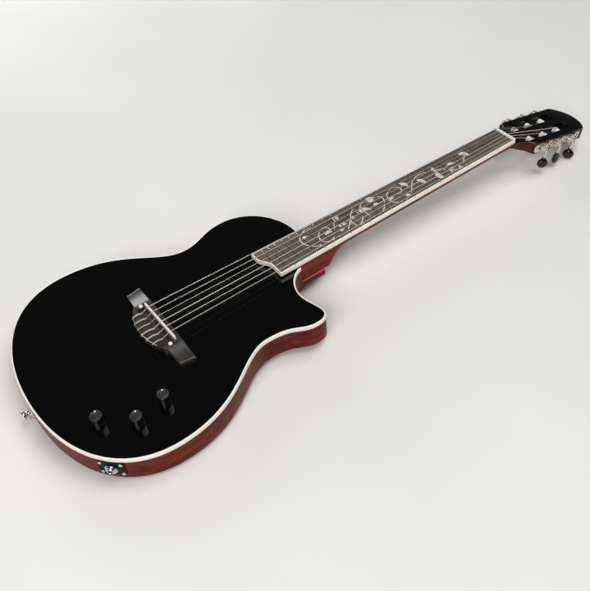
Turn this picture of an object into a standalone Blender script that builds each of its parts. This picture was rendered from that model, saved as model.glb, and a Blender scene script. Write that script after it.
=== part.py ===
# Thin-bodied nylon-string guitar with a single cutaway and worm-gear tuning machines.
# It lies on its back: +X to the treble side, +Y towards the head, +Z out of the top.
# The origin is on the flat back, on the centre line, below the saddle.
# Sizes are in millimetres and angles in degrees; meshes are written in metres.
import math

import bmesh
import bpy
import numpy as np
from mathutils import Matrix, Vector

MM = 0.001
SEAT_GAP = 0.3

# Strings and scale
SCALE_LENGTH = 650.0
FRET_COUNT = 22
STRING_SPREAD_NUT = 36.0
STRING_SPREAD_SADDLE = 57.5
STRING_DIAMETERS = (1.12, 0.91, 0.74, 1.02, 0.82, 0.71)
STRING_HEIGHT_NUT = 1.4
STRING_HEIGHT_SADDLE = 4.2
WRAP_TURNS = 2.5
WRAP_SPACING = 0.55

# Body
BODY_DEPTH = 42.0
TAIL_REACH = 195.6
LOWER_BOUT_HALF = 176.7
LOWER_BOUT_Y = -67.6
WAIST_HALF = 110.9
WAIST_Y = 98.9
UPPER_BOUT_HALF = 128.6
UPPER_BOUT_Y = 174.3
HORN_HALF = 129.1
HORN_Y = 169.7
SHOULDER_X = -42.0
NECK_JOINT_Y = 253.5
CUTAWAY_END = (30.2, 212.0)
TREBLE_STEPS = (12, 10, 6, 5, 4, 6)
BASS_STEPS = (12, 10, 6, 9)
BACK_ROUND = 3.5
TOP_THICKNESS = 4.0
BINDING_WIDTH = 2.2
BINDING_HEIGHT = 5.5
LEDGE_THICKNESS = 12.0
CHAMBER_FLOOR = 9.0
CHAMBERS = (((-92.0, -105.0), (-84.0, 25.0), 46.0), ((-76.0, 165.0), (-64.0, 190.0), 32.0),
            ((62.0, 20.0), (60.0, 105.0), 30.0))

# Fingerboard
BOARD_THICKNESS = 7.0
BOARD_RISE = 3.0
NUT_HALF = 21.7
LAST_FRET_HALF = 29.4
BOARD_END_BASS = 15.4
BOARD_END_TREBLE = 4.4
BOARD_BINDING_WIDTH = 1.8
FRET_WIDTH = 2.2
FRET_HEIGHT = 1.0
NUT_LENGTH = 5.0
NUT_TOP_OVER_STRING = 0.6

# Neck
NECK_DEPTH_NUT = 15.0
NECK_DEPTH_HEEL = 17.4
HEEL_OVERHANG = 10.0
HEEL_SWEEP = 36.0
TENON_START = 5.1
TONGUE_INSET = 0.8
TONGUE_REACH = 12.0

# Head
HEAD_TILT = 11.0
HEAD_LENGTH = 183.0
HEAD_HALF = 39.5
HEAD_THICKNESS = 21.0
HEADPLATE_THICKNESS = 2.0
SHOULDER_START = 30.0
SHOULDER_END = 43.0
CROWN_RISE = 18.0
SLOT_START = 28.0
SLOT_END = 146.0
SLOT_WIDTH = 18.0
SLOT_CENTRE = 16.9

# Tuning machines
ROLLER_FIRST = 57.0
ROLLER_SPACING = 35.0
ROLLER_DEPTH = 10.0
ROLLER_RADIUS = 5.0
POST_RADIUS = 3.0
POST_END = 1.8
PLATE_THICKNESS = 1.5
PLATE_OVERHANG = 14.5
GEAR_TEETH = 14
GEAR_PITCH = 3.1
GEAR_WIDTH = 3.0
GEAR_ADDENDUM = 0.8
GEAR_DEDENDUM = 1.1
GEAR_TOOTH_BASE = 1.3
GEAR_TOOTH_TIP = 0.7
WORM_PITCH_RADIUS = 3.0
WORM_CORE_RADIUS = 1.9
WORM_TIP_RADIUS = 3.7
WORM_TURNS = 2.8
WORM_STEPS = 8
WORM_RIDGE_BASE = 1.0
WORM_RIDGE_TIP = 0.5
EAR_OFFSET = 6.6
EAR_THICKNESS = 1.5
JOURNAL_RADIUS = 1.5
SHAFT_RADIUS = 2.2
SHAFT_END = 27.0
BUTTON_START = 20.5
BUTTON_LENGTH = 19.0
BUTTON_HALF_WIDTH = 9.4
BUTTON_HALF_THICKNESS = 4.9
BUTTON_BORE_DEPTH = 7.5
BUTTON_TURNS = (15.0, 70.0, 0.0, 35.0, 100.0, 60.0)

# Bridge
BRIDGE_HALF = 78.0
BRIDGE_FRONT = 9.0
BRIDGE_SHELF = 8.4
BRIDGE_WING = 4.7
TIE_BLOCK_HALF = 37.5
TIE_BLOCK_HEIGHT = 9.6
TIE_BLOCK_FRONT = 13.5
BRIDGE_VALLEY = 5.0
BRIDGE_BACK = 31.5
BRIDGE_WING_BACK = 13.5
BRIDGE_WING_FLARE = 2.5
BRIDGE_BULGE_HALF = 46.0
BRIDGE_SHELF_HALF = 48.0
BRIDGE_WING_START = 58.0
BRIDGE_END_BEVEL = 2.5
BRIDGE_END_SHEAR = 0.16
SADDLE_SLANT = 2.0
STRING_HOLE_RADIUS = 1.15
STRING_HOLE_HEIGHT = 7.0
SADDLE_HALF = 40.5
SADDLE_THICKNESS = 3.0
SADDLE_SLOT_DEPTH = 4.4
PICKUP_THICKNESS = 1.0
PICKUP_HALF = 36.0
DOT_X = 42.0
DOT_Y = -8.3
DOT_RADIUS = 3.3
DOT_DEPTH = 1.0
DOT_PROUD = 0.4

# Controls and electrics
KNOB_OFFSETS = ((-85.2, -68.9), (-54.9, -30.0), (-62.5, 11.0))
KNOB_PLACES = [(LOWER_BOUT_HALF + across, LOWER_BOUT_Y + along) for across, along in KNOB_OFFSETS]
KNOB_RADIUS = 9.0
KNOB_TOP_RADIUS = 8.4
KNOB_HEIGHT = 18.0
KNOB_BORE_DEPTH = 11.0
POT_SHAFT_RADIUS = 3.0
POT_BUSH_RADIUS = 3.6
POT_BODY_RADIUS = 8.5
POT_BODY_DEPTH = 10.0
CAVITY_RADIUS = 23.0
COVER_LIP = 6.0
COVER_THICKNESS = 2.0
BOARD_SIZE = (60.0, 24.0, 1.6)
JACK_ANGLE = -46.0
JACK_HEIGHT = 23.3
JACK_PLATE_LENGTH = 34.0
JACK_PLATE_HEIGHT = 25.0
JACK_PLATE_THICKNESS = 2.0
JACK_BUSH_RADIUS = 4.75
JACK_BORE_RADIUS = 3.2
JACK_NUT_RADIUS = 7.0
JACK_NUT_THICKNESS = 2.5
JACK_BARREL_RADIUS = 8.0
JACK_BARREL_LENGTH = 22.0
STRAP_BUTTON_HEIGHT = 16.8
STRAP_BUTTON_LENGTH = 12.5
STRAP_BUTTON_HEAD = 7.0
STRAP_BUTTON_NECK = 3.5
BATTERY_SIZE = (26.5, 48.5, 17.5)
BATTERY_PLACE = (28.0, -128.0)
BATTERY_ROOM = 0.75
BOX_WALL = 1.5
BOX_FLANGE = 5.0
DOOR_THICKNESS = 3.0
DOOR_PIN_RADIUS = 0.8
DOOR_PIN_LENGTH = 1.6

# Heights and places that follow from the sizes above
BODY_TOP = BODY_DEPTH
SHELL_TOP = BODY_TOP - TOP_THICKNESS - SEAT_GAP
BOARD_TOP = BODY_TOP + BOARD_RISE + BOARD_THICKNESS
BOARD_BOTTOM = BOARD_TOP - BOARD_THICKNESS
NECK_TOP = BOARD_BOTTOM - SEAT_GAP
HEEL_BOTTOM = LEDGE_THICKNESS + SEAT_GAP
LAST_FRET_Y = SCALE_LENGTH * 2 ** (-FRET_COUNT / 12)
TENON_END = LAST_FRET_Y + TENON_START
STRING_Z_NUT = BOARD_TOP + STRING_HEIGHT_NUT
STRING_Z_SADDLE = BOARD_TOP + STRING_HEIGHT_SADDLE
BRIDGE_BOTTOM = BODY_TOP + SEAT_GAP
GEAR_RADIUS = GEAR_TEETH * GEAR_PITCH / (2 * math.pi)
WORM_OFFSET = GEAR_RADIUS + WORM_PITCH_RADIUS
PLATE_INNER = HEAD_HALF + SEAT_GAP
PLATE_OUTER = PLATE_INNER + PLATE_THICKNESS
WORM_X = PLATE_OUTER + WORM_TIP_RADIUS + SEAT_GAP
TILT = math.radians(HEAD_TILT)
HEAD_FRAME = Matrix.Translation(Vector((0, SCALE_LENGTH, BOARD_BOTTOM)) * MM) @ Matrix.Rotation(-TILT, 4, "X")


# Small mesh tools

def material(name, colour, roughness, metallic=0.0):
    made = bpy.data.materials.new(name)
    made.use_nodes = True
    shader = made.node_tree.nodes["Principled BSDF"]
    shader.inputs["Base Color"].default_value = (*colour, 1.0)
    shader.inputs["Roughness"].default_value = roughness
    shader.inputs["Metallic"].default_value = metallic
    made.diffuse_color = (*colour, 1.0)
    return made


def skin(points, faces, smooth=False):
    """A mesh from points in millimetres, with its faces turned outwards."""
    mesh = bpy.data.meshes.new("mesh")
    mesh.from_pydata([tuple(float(c) * MM for c in p) for p in points], [], faces)
    work = bmesh.new()
    work.from_mesh(mesh)
    bmesh.ops.remove_doubles(work, verts=work.verts, dist=1e-7)
    bmesh.ops.recalc_face_normals(work, faces=work.faces)
    work.to_mesh(mesh)
    work.free()
    if smooth:
        mesh.shade_smooth()
        mesh.set_sharp_from_angle(angle=math.radians(35))
    return mesh


def loft(rings, smooth=False):
    """A closed solid through rings with equal point counts, capped at both ends."""
    count = len(rings[0])
    points = [p for ring in rings for p in ring]
    faces = [tuple(reversed(range(count))), tuple(range(len(points) - count, len(points)))]
    for r in range(len(rings) - 1):
        for i in range(count):
            j = (i + 1) % count
            faces.append((r * count + i, r * count + j, (r + 1) * count + j, (r + 1) * count + i))
    return skin(points, faces, smooth)


def prism(outline, low, high):
    """A plan outline carried straight up from one height to another."""
    return loft([[(x, y, low) for x, y in outline], [(x, y, high) for x, y in outline]])


def box(size, centre):
    x, y = size[0] / 2, size[1] / 2
    outline = [(centre[0] + sx * x, centre[1] + sy * y) for sx, sy in ((-1, -1), (1, -1), (1, 1), (-1, 1))]
    return prism(outline, centre[2] - size[2] / 2, centre[2] + size[2] / 2)


def ring_points(radius, height, steps, squash=1.0, start=0.0):
    return [(radius * math.cos(start + 2 * math.pi * i / steps),
             squash * radius * math.sin(start + 2 * math.pi * i / steps), height) for i in range(steps)]


def lathe(profile, steps=20):
    """A solid turned about Z from (radius, height) pairs, bottom to top, with flat ends."""
    return loft([ring_points(r, z, steps) for r, z in profile], smooth=True)


def rod(radius, low, high, steps=16):
    return lathe([(radius, low), (radius, high)], steps)


def moved(mesh, matrix):
    copy = mesh.copy()
    copy.transform(matrix)
    return copy


def shift(x=0.0, y=0.0, z=0.0):
    return Matrix.Translation(Vector((x, y, z)) * MM)


def turn(angle, axis):
    return Matrix.Rotation(math.radians(angle), 4, axis)


def place(name, mesh, finish, matrix=None):
    made = bpy.data.objects.new(name, mesh)
    bpy.context.scene.collection.objects.link(made)
    if finish is not None:
        mesh.materials.clear()
        mesh.materials.append(finish)
    if matrix is not None:
        made.matrix_world = matrix
    return made


def combine(mesh, tools, operation):
    """The mesh after one Boolean with each tool mesh in turn."""
    base = place("base", mesh, None)
    helpers = []
    for tool in tools:
        helper = place("tool", tool, None)
        step = base.modifiers.new("step", "BOOLEAN")
        step.operation = operation
        step.object = helper
        helpers.append(helper)
    bpy.context.view_layer.update()
    graph = bpy.context.evaluated_depsgraph_get()
    result = bpy.data.meshes.new_from_object(base.evaluated_get(graph))
    for helper in helpers + [base]:
        bpy.data.objects.remove(helper)
    work = bmesh.new()
    work.from_mesh(result)
    bmesh.ops.remove_doubles(work, verts=work.verts, dist=2e-7)
    bmesh.ops.dissolve_degenerate(work, edges=work.edges, dist=2e-7)
    work.to_mesh(result)
    work.free()
    return result


def cut(mesh, *tools):
    return combine(mesh, tools, "DIFFERENCE")


def join(mesh, *tools):
    return combine(mesh, tools, "UNION")


# Plan shapes

def curve_points(stations, steps):
    """Cubic curve through stations (x, y, heading in degrees, handle in, handle out)."""
    points = []
    for a, b, count in zip(stations[:-1], stations[1:], steps):
        start = np.array(a[:2])
        end = np.array(b[:2])
        leave = start + a[4] * np.array((math.cos(math.radians(a[2])), math.sin(math.radians(a[2]))))
        arrive = end - b[3] * np.array((math.cos(math.radians(b[2])), math.sin(math.radians(b[2]))))
        for t in np.arange(count) / count:
            s = 1 - t
            points.append(s ** 3 * start + 3 * s * s * t * leave + 3 * s * t * t * arrive + t ** 3 * end)
    points.append(np.array(stations[-1][:2]))
    return points


def inset(outline, distance):
    """The outline moved inwards by a distance, corner by corner; it runs anticlockwise."""
    shape = np.array(outline)
    before = shape - np.roll(shape, 1, axis=0)
    after = np.roll(shape, -1, axis=0) - shape
    sides = []
    for edge in (before, after):
        length = np.linalg.norm(edge, axis=1, keepdims=True)
        sides.append(np.stack((-edge[:, 1], edge[:, 0]), axis=1) / length)
    mitre = sides[0] + sides[1]
    mitre /= np.sum(mitre * sides[0], axis=1, keepdims=True)
    return shape + distance * mitre


def body_outline():
    """Anticlockwise outline: tail, treble side, horn, cutaway, heel ledge, bass side."""
    tail = (0.0, -TAIL_REACH)
    treble = [(*tail, 0, 0, 96.5), (LOWER_BOUT_HALF, LOWER_BOUT_Y, 90, 87, 93),
              (WAIST_HALF, WAIST_Y, 90, 43.5, 45), (HORN_HALF, HORN_Y, 90, 28, 9),
              (HORN_HALF - 20.4, HORN_Y + 18.9, 190, 18, 10), (HORN_HALF - 58.2, HORN_Y + 11.2, 176, 14, 18.5),
              (*CUTAWAY_END, 107, 18, 0)]
    bass = [(*tail, 180, 0, 96.5), (-LOWER_BOUT_HALF, LOWER_BOUT_Y, 90, 87, 93),
            (-WAIST_HALF, WAIST_Y, 90, 43.5, 27.5), (-UPPER_BOUT_HALF, UPPER_BOUT_Y, 90, 36.5, 44),
            (SHOULDER_X, NECK_JOINT_Y, 0, 46, 0)]
    ledge = [np.array((CUTAWAY_END[0], NECK_JOINT_Y))]
    return curve_points(treble, TREBLE_STEPS) + ledge + curve_points(bass, BASS_STEPS)[:0:-1]


def capsule(start, end, radius, steps=8):
    """Anticlockwise outline of a straight slot with round ends."""
    along = math.atan2(end[1] - start[1], end[0] - start[0])
    points = []
    for centre, first in ((end, along - math.pi / 2), (start, along + math.pi / 2)):
        for i in range(steps + 1):
            a = first + math.pi * i / steps
            points.append((centre[0] + radius * math.cos(a), centre[1] + radius * math.sin(a)))
    return points


def bent_capsule(places, radius, steps=8):
    """Anticlockwise outline round a bent line of three places, at one distance from it."""
    first, middle, last = [np.array(p) for p in places]
    one = (middle - first) / np.linalg.norm(middle - first)
    two = (last - middle) / np.linalg.norm(last - middle)
    right = [np.array((d[1], -d[0])) for d in (one, two)]
    heading = [math.atan2(d[1], d[0]) for d in (one, two)]
    inner = (right[0] + right[1]) * radius / (1 + float(right[0] @ right[1]))
    fans = ((middle, heading[0] - math.pi / 2, heading[1] - math.pi / 2),
            (last, heading[1] - math.pi / 2, heading[1] + math.pi / 2),
            (None, 0, 0),
            (first, heading[0] + math.pi / 2, heading[0] + 3 * math.pi / 2))
    points = []
    for centre, low, high in fans:
        if centre is None:
            points.append(tuple(middle - inner))
            continue
        for i in range(steps + 1):
            a = low + (high - low) * i / steps
            points.append((centre[0] + radius * math.cos(a), centre[1] + radius * math.sin(a)))
    return points


def board_half(y):
    """Half the fingerboard's width at a place along the neck."""
    last_fret = SCALE_LENGTH * 2 ** (-FRET_COUNT / 12)
    return NUT_HALF + (LAST_FRET_HALF - NUT_HALF) * (SCALE_LENGTH - y) / (SCALE_LENGTH - last_fret)


def board_end(x, half):
    """The ogee at the end of the fingerboard, from the bass side up to the treble side."""
    last_fret = SCALE_LENGTH * 2 ** (-FRET_COUNT / 12)
    t = min(max(((x / half + 1) / 2 - 0.22) / 0.40, 0.0), 1.0)
    rise = t * t * (3 - 2 * t)
    return last_fret - BOARD_END_BASS + (BOARD_END_BASS - BOARD_END_TREBLE) * rise


def board_end_points(margin, steps=14):
    """Points along the ogee from bass to treble, moved in from the outer edge by a margin."""
    last_fret = SCALE_LENGTH * 2 ** (-FRET_COUNT / 12)
    half = board_half(last_fret - BOARD_END_BASS)
    inner = half - margin
    return [(x, board_end(x, inner) + margin) for x in np.linspace(-inner, inner, steps + 1)]


def head_half(u):
    """Half the head's width at a distance from the nut: flare, shoulder, sides, round crown."""
    if u <= SHOULDER_START:
        t = max(u, 0.0) / SHOULDER_START
        return NUT_HALF + (SHOULDER_WIDTH - NUT_HALF) * t * t
    if u <= SHOULDER_END:
        t = (u - SHOULDER_START) / (SHOULDER_END - SHOULDER_START)
        return SHOULDER_WIDTH + (HEAD_HALF - SHOULDER_WIDTH) * (1 - math.cos(math.pi * t)) / 2
    radius = (HEAD_HALF ** 2 + CROWN_RISE ** 2) / (2 * CROWN_RISE)
    if u <= HEAD_LENGTH - CROWN_RISE:
        return HEAD_HALF
    return math.sqrt(max(radius ** 2 - (u - HEAD_LENGTH + radius) ** 2, 1.0))


SHOULDER_WIDTH = NUT_HALF + 3.9
HEAD_STATIONS = ([6.0, 14.0, 22.0] + list(np.linspace(SHOULDER_START, SHOULDER_END, 7))
                 + [HEAD_LENGTH - CROWN_RISE * k for k in (1.0, 0.78, 0.56, 0.36, 0.2, 0.09, 0.02)])


# Finishes, plain versions of the real ones
gloss_black = material("gloss_black_lacquer", (0.008, 0.008, 0.009), 0.1)
cream = material("cream_binding", (0.84, 0.76, 0.58), 0.35)
mahogany = material("mahogany", (0.16, 0.035, 0.018), 0.35)
rosewood = material("rosewood", (0.055, 0.026, 0.018), 0.5)
bridge_wood = material("bridge_rosewood", (0.03, 0.022, 0.02), 0.45)
bone = material("bone", (0.86, 0.82, 0.70), 0.35)
wound = material("silvered_copper_winding", (0.62, 0.60, 0.55), 0.35, 1.0)
nylon = material("clear_nylon", (0.80, 0.79, 0.74), 0.25)
white_plastic = material("white_roller_plastic", (0.86, 0.84, 0.78), 0.3)
nickel = material("nickel_plate", (0.66, 0.62, 0.54), 0.25, 1.0)
brass = material("brass", (0.62, 0.44, 0.18), 0.3, 1.0)
chrome = material("chrome", (0.78, 0.78, 0.80), 0.12, 1.0)
black_plastic = material("black_plastic", (0.012, 0.012, 0.013), 0.3)
steel = material("zinc_plated_steel", (0.5, 0.5, 0.5), 0.4, 1.0)
pearl = material("pearl_dot", (0.85, 0.84, 0.80), 0.25)
circuit = material("circuit_board", (0.02, 0.14, 0.05), 0.5)
ceramic = material("pickup_tape", (0.45, 0.30, 0.10), 0.5)


# Body: mahogany shell, black top plate, cream binding

def neck_pocket(low, high):
    """Room for the neck: its own taper plus the seat gap, open at the cutaway and the front."""
    front = NECK_JOINT_Y + 12
    outline = [(-board_half(TENON_END) - SEAT_GAP, TENON_END - SEAT_GAP),
               (board_half(TENON_END) + SEAT_GAP, TENON_END - SEAT_GAP),
               (board_half(CUTAWAY_END[1]) + SEAT_GAP, CUTAWAY_END[1]),
               (CUTAWAY_END[0] + 8, CUTAWAY_END[1]), (CUTAWAY_END[0] + 8, front),
               (-board_half(front) - SEAT_GAP, front)]
    return prism(outline, low, high)


def treble_run():
    """The lower treble outline and how far along it each of its points lies."""
    shape = np.array(body_outline())[:sum(TREBLE_STEPS[:2])]
    return shape, np.concatenate(([0.0], np.cumsum(np.linalg.norm(np.diff(shape, axis=0), axis=1))))


def outline_run(angle):
    """How far along the outline it faces outwards at the given angle."""
    shape, run = treble_run()
    count = TREBLE_STEPS[0]
    edge = np.diff(shape, axis=0)[:count]
    facing = np.degrees(np.arctan2(-edge[:, 0], edge[:, 1]))
    return float(np.interp(angle, facing, (run[:count] + run[1:count + 1]) / 2))


def outline_at(where):
    """Points of the outline at the given distances along it."""
    shape, run = treble_run()
    return np.stack((np.interp(where, run, shape[:, 0]), np.interp(where, run, shape[:, 1])), axis=-1)


def battery_tub_size():
    return [BATTERY_SIZE[i] + 2 * (BATTERY_ROOM + BOX_WALL) for i in (0, 1)]


def battery_heights():
    """Top of the tub and top of the battery inside it."""
    battery_top = DOOR_THICKNESS + 1.5 + BATTERY_SIZE[2]
    return battery_top + SEAT_GAP + BOX_WALL, battery_top


JACK_RUN = outline_run(JACK_ANGLE)
JACK_PLACE = outline_at(JACK_RUN)
JACK_FRAME = shift(JACK_PLACE[0], JACK_PLACE[1], JACK_HEIGHT) @ turn(JACK_ANGLE, "Z") @ turn(90, "Y")


def make_body():
    outline = body_outline()
    rim = BINDING_WIDTH + SEAT_GAP
    levels = [(BACK_ROUND, 0.0), (0.29 * BACK_ROUND, 0.29 * BACK_ROUND), (0.0, BACK_ROUND),
              (0.0, BODY_TOP - BINDING_HEIGHT - SEAT_GAP),
              (rim, BODY_TOP - BINDING_HEIGHT - SEAT_GAP), (rim, SHELL_TOP)]
    shell = loft([[(x, y, z) for x, y in inset(outline, d)] for d, z in levels])
    tub_x, tub_y = battery_tub_size()
    tub_top = battery_heights()[0]
    flange = [tub_x + 2 * BOX_FLANGE, tub_y + 2 * BOX_FLANGE]
    below = -5.0
    above = BODY_TOP + 5
    tools = [neck_pocket(LEDGE_THICKNESS, above),
             prism(bent_capsule(KNOB_PLACES, CAVITY_RADIUS), below, above),
             prism(bent_capsule(KNOB_PLACES, CAVITY_RADIUS + COVER_LIP), below, COVER_THICKNESS + SEAT_GAP),
             box((tub_x + 2 * SEAT_GAP, tub_y + 2 * SEAT_GAP, tub_top + SEAT_GAP - below),
                 (*BATTERY_PLACE, (tub_top + SEAT_GAP + below) / 2)),
             box((flange[0] + 2 * SEAT_GAP, flange[1] + 2 * SEAT_GAP, DOOR_THICKNESS + SEAT_GAP - below),
                 (*BATTERY_PLACE, (DOOR_THICKNESS + SEAT_GAP + below) / 2)),
             moved(rod(JACK_BARREL_RADIUS + 2.5, -30, 10), JACK_FRAME)]
    for start, end, radius in CHAMBERS:
        tools.append(prism(capsule(start, end, radius), CHAMBER_FLOOR, above))
    place("body_shell", cut(shell, *tools), mahogany)

    top = prism(inset(outline, rim), BODY_TOP - TOP_THICKNESS, BODY_TOP)
    holes = [prism([(x + POT_BUSH_RADIUS * 1.12 * math.cos(a), y + POT_BUSH_RADIUS * 1.12 * math.sin(a))
                    for a in np.linspace(0, 2 * math.pi, 17)[:-1]], 0, above) for x, y in KNOB_PLACES]
    place("top_plate", cut(top, neck_pocket(LEDGE_THICKNESS, above), *holes), gloss_black)

    low, high = BODY_TOP - BINDING_HEIGHT, BODY_TOP
    outer, inner = inset(outline, 0), inset(outline, BINDING_WIDTH)
    count = len(outline)
    points = [(x, y, z) for shape, z in ((outer, low), (outer, high), (inner, high), (inner, low))
              for x, y in shape]
    faces = []
    for r in range(4):
        for i in range(count):
            j = (i + 1) % count
            s = (r + 1) % 4
            faces.append((r * count + i, r * count + j, s * count + j, s * count + i))
    ring = skin(points, faces)
    place("body_binding", cut(ring, neck_pocket(LEDGE_THICKNESS, above)), cream)


# Neck and head, carved as one and parted along the scarf joint

def back_section(y, z, tilt, half, depth, power, steps=12):
    """A flat-topped section whose back is a rounded, then squarer, curve as power grows."""
    ring = []
    for i in range(steps + 1):
        a = math.pi * i / steps
        c, s = math.cos(a), math.sin(a)
        x = half * math.copysign(abs(c) ** (2 / power), c) if abs(c) > 1e-9 else 0.0
        down = depth * abs(s) ** (2 / power) if abs(s) > 1e-9 else 0.0
        ring.append((x, y - down * math.sin(tilt), z - down * math.cos(tilt)))
    return ring


def head_point(x, u, n):
    """A point given in head measures: across, along from the nut, up from the face."""
    return (x, SCALE_LENGTH + u * math.cos(TILT) + n * math.sin(TILT),
            BOARD_BOTTOM - u * math.sin(TILT) + n * math.cos(TILT))


def make_neck():
    square = 40.0
    heel_depth = NECK_TOP - HEEL_BOTTOM
    heel_end = NECK_JOINT_Y + HEEL_OVERHANG
    sections = [(TENON_END, heel_depth, square), (NECK_JOINT_Y - 20, heel_depth, square),
                (heel_end, heel_depth, square)]
    for share, power in ((0.12, 12.0), (0.26, 6.0), (0.44, 3.6), (0.68, 2.7), (1.0, 2.3)):
        drop = (1 - share) ** 1.7
        sections.append((heel_end + share * HEEL_SWEEP, NECK_DEPTH_HEEL + (heel_depth - NECK_DEPTH_HEEL) * drop,
                         power))
    nut_back = SCALE_LENGTH + NUT_LENGTH
    for share in (0.35, 0.7, 0.985):
        y = heel_end + HEEL_SWEEP + share * (SCALE_LENGTH - heel_end - HEEL_SWEEP)
        sections.append((y, NECK_DEPTH_HEEL + (NECK_DEPTH_NUT - NECK_DEPTH_HEEL) * share, 2.3))
    sections.append((nut_back, NECK_DEPTH_NUT, 2.3))
    rings = [back_section(y, NECK_TOP, 0.0, board_half(min(y, SCALE_LENGTH)), depth, power)
             for y, depth, power in sections]
    wood_top = HEADPLATE_THICKNESS + SEAT_GAP
    full = HEAD_THICKNESS - wood_top
    for u in HEAD_STATIONS:
        grown = min(u / SHOULDER_END, 1.0)
        depth = NECK_DEPTH_NUT - wood_top + (full - NECK_DEPTH_NUT + wood_top) * grown ** 1.3
        power = 2.4 + (square - 2.4) * grown ** 3
        x, y, z = head_point(0, u, -wood_top)
        rings.append(back_section(y, z, TILT, head_half(u), depth, power))
    whole = loft(rings)
    tongue_top = NECK_TOP
    tongue = board_end_points(TONGUE_INSET)
    inner_y = TENON_END + TONGUE_REACH
    tongue = tongue + [(board_half(inner_y) - TONGUE_INSET, inner_y), (-board_half(inner_y) + TONGUE_INSET, inner_y)]
    whole = join(whole, prism(tongue, BODY_TOP + SEAT_GAP, tongue_top))
    tools = []
    for side in (-1, 1):
        centre = side * SLOT_CENTRE
        reach = SLOT_WIDTH / 2
        shape = capsule((centre, SLOT_START + reach), (centre, SLOT_END - reach), reach)
        tools.append(moved(prism(shape, -HEAD_THICKNESS - 6, 6), HEAD_FRAME))
        for k in range(3):
            bore = rod(POST_RADIUS + SEAT_GAP, POST_END - SEAT_GAP, HEAD_HALF + 5, 12)
            tools.append(moved(bore, HEAD_FRAME @ shift(0, ROLLER_FIRST + k * ROLLER_SPACING, -ROLLER_DEPTH)
                               @ turn(90 * side, "Y")))
    far, deep = 400.0, 80.0
    scarf = shift(0, nut_back + 1.5, BOARD_BOTTOM) @ Matrix.Rotation(TILT, 4, "X")
    half_gap = SEAT_GAP / 2
    under = moved(box((far, 2 * far, deep), (0, 0, -deep / 2 + half_gap)), scarf)
    over = moved(box((far, 4 * far, 2 * far), (0, -far, far - half_gap)), scarf)
    past_nut = box((far, far, far), (0, nut_back + 0.6 + far / 2, 0))
    place("neck", cut(whole, under, past_nut), mahogany)
    place("headstock", cut(whole.copy(), over, *tools), mahogany)

    plate_start = NUT_LENGTH + 1.6
    stations = [plate_start] + HEAD_STATIONS[1:]
    treble = [(head_half(u), u) for u in stations]
    outline = treble + [(-x, u) for x, u in reversed(treble)]
    plate = moved(prism(outline, -HEADPLATE_THICKNESS, 0), HEAD_FRAME)
    slots = []
    for side in (-1, 1):
        centre = side * SLOT_CENTRE
        reach = SLOT_WIDTH / 2
        shape = capsule((centre, SLOT_START + reach), (centre, SLOT_END - reach), reach)
        slots.append(moved(prism(shape, -6, 6), HEAD_FRAME))
    place("headplate", cut(plate, *slots), gloss_black)


# Fingerboard with its frets, its binding and the nut

def make_fingerboard():
    margin = BOARD_BINDING_WIDTH + 0.2
    rows = [(SCALE_LENGTH - SEAT_GAP, 0.0)]
    for k in range(1, FRET_COUNT + 1):
        y = SCALE_LENGTH * 2 ** (-k / 12)
        for across, up in ((0.5, 0.0), (0.22, 1.0), (-0.22, 1.0), (-0.5, 0.0)):
            rows.append((y + across * FRET_WIDTH, up * FRET_HEIGHT))
    last_fret = SCALE_LENGTH * 2 ** (-FRET_COUNT / 12)
    rows.append((last_fret - BOARD_END_BASS - 4, 0.0))
    rings = []
    for y, up in rows:
        half = board_half(y) - margin
        rings.append([(-half, y, BOARD_BOTTOM), (half, y, BOARD_BOTTOM),
                      (half, y, BOARD_TOP + up), (-half, y, BOARD_TOP + up)])
    ogee = board_end_points(margin)
    far_y = last_fret - BOARD_END_BASS - 20
    reach = LAST_FRET_HALF + 10
    trim = [(-reach, far_y), (reach, far_y), (reach, ogee[-1][1])] + ogee[::-1] + [(-reach, ogee[0][1])]
    place("fingerboard", cut(loft(rings), prism(trim, BODY_TOP, BOARD_TOP + 5)), rosewood)

    outer = board_end_points(0.0)
    inner = board_end_points(BOARD_BINDING_WIDTH)
    start = SCALE_LENGTH - SEAT_GAP
    outline = ([(-board_half(start), start)] + outer + [(board_half(start), start),
               (board_half(start) - BOARD_BINDING_WIDTH, start)] + inner[::-1]
               + [(-board_half(start) + BOARD_BINDING_WIDTH, start)])
    place("fingerboard_binding", prism(outline, BOARD_BOTTOM, BOARD_TOP), cream)


def string_x(i, spread):
    return spread * (i / 5 - 0.5)


def make_nut():
    floor = STRING_Z_NUT - SEAT_GAP
    top = STRING_Z_NUT + NUT_TOP_OVER_STRING
    front = [(-NUT_HALF + 0.2, BOARD_BOTTOM), (NUT_HALF - 0.2, BOARD_BOTTOM), (NUT_HALF - 0.2, top - 1.0),
             (NUT_HALF - 1.2, top)]
    for i in reversed(range(6)):
        x = string_x(i, STRING_SPREAD_NUT)
        reach = STRING_DIAMETERS[i] / 2 + 0.35
        front += [(x + reach, top), (x + reach, floor), (x - reach, floor), (x - reach, top)]
    front += [(-NUT_HALF + 1.2, top), (-NUT_HALF + 0.2, top - 1.0)]
    near, far = SCALE_LENGTH, SCALE_LENGTH + NUT_LENGTH
    place("nut", loft([[(x, near, z) for x, z in front], [(x, far, z) for x, z in front]]), bone)


# Bridge, saddle, pickup and dots

def bridge_back(x):
    """Distance of the bridge's back edge behind the saddle: straight wings, round middle."""
    run = BRIDGE_HALF - BRIDGE_SHELF_HALF
    wing = BRIDGE_WING_BACK + BRIDGE_WING_FLARE * min((BRIDGE_HALF - abs(x)) / run, 1.0)
    bulge = max(1 - (x / BRIDGE_BULGE_HALF) ** 2, 0.0) ** 0.75
    return wing + (BRIDGE_BACK - BRIDGE_WING_BACK - BRIDGE_WING_FLARE) * bulge


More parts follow.
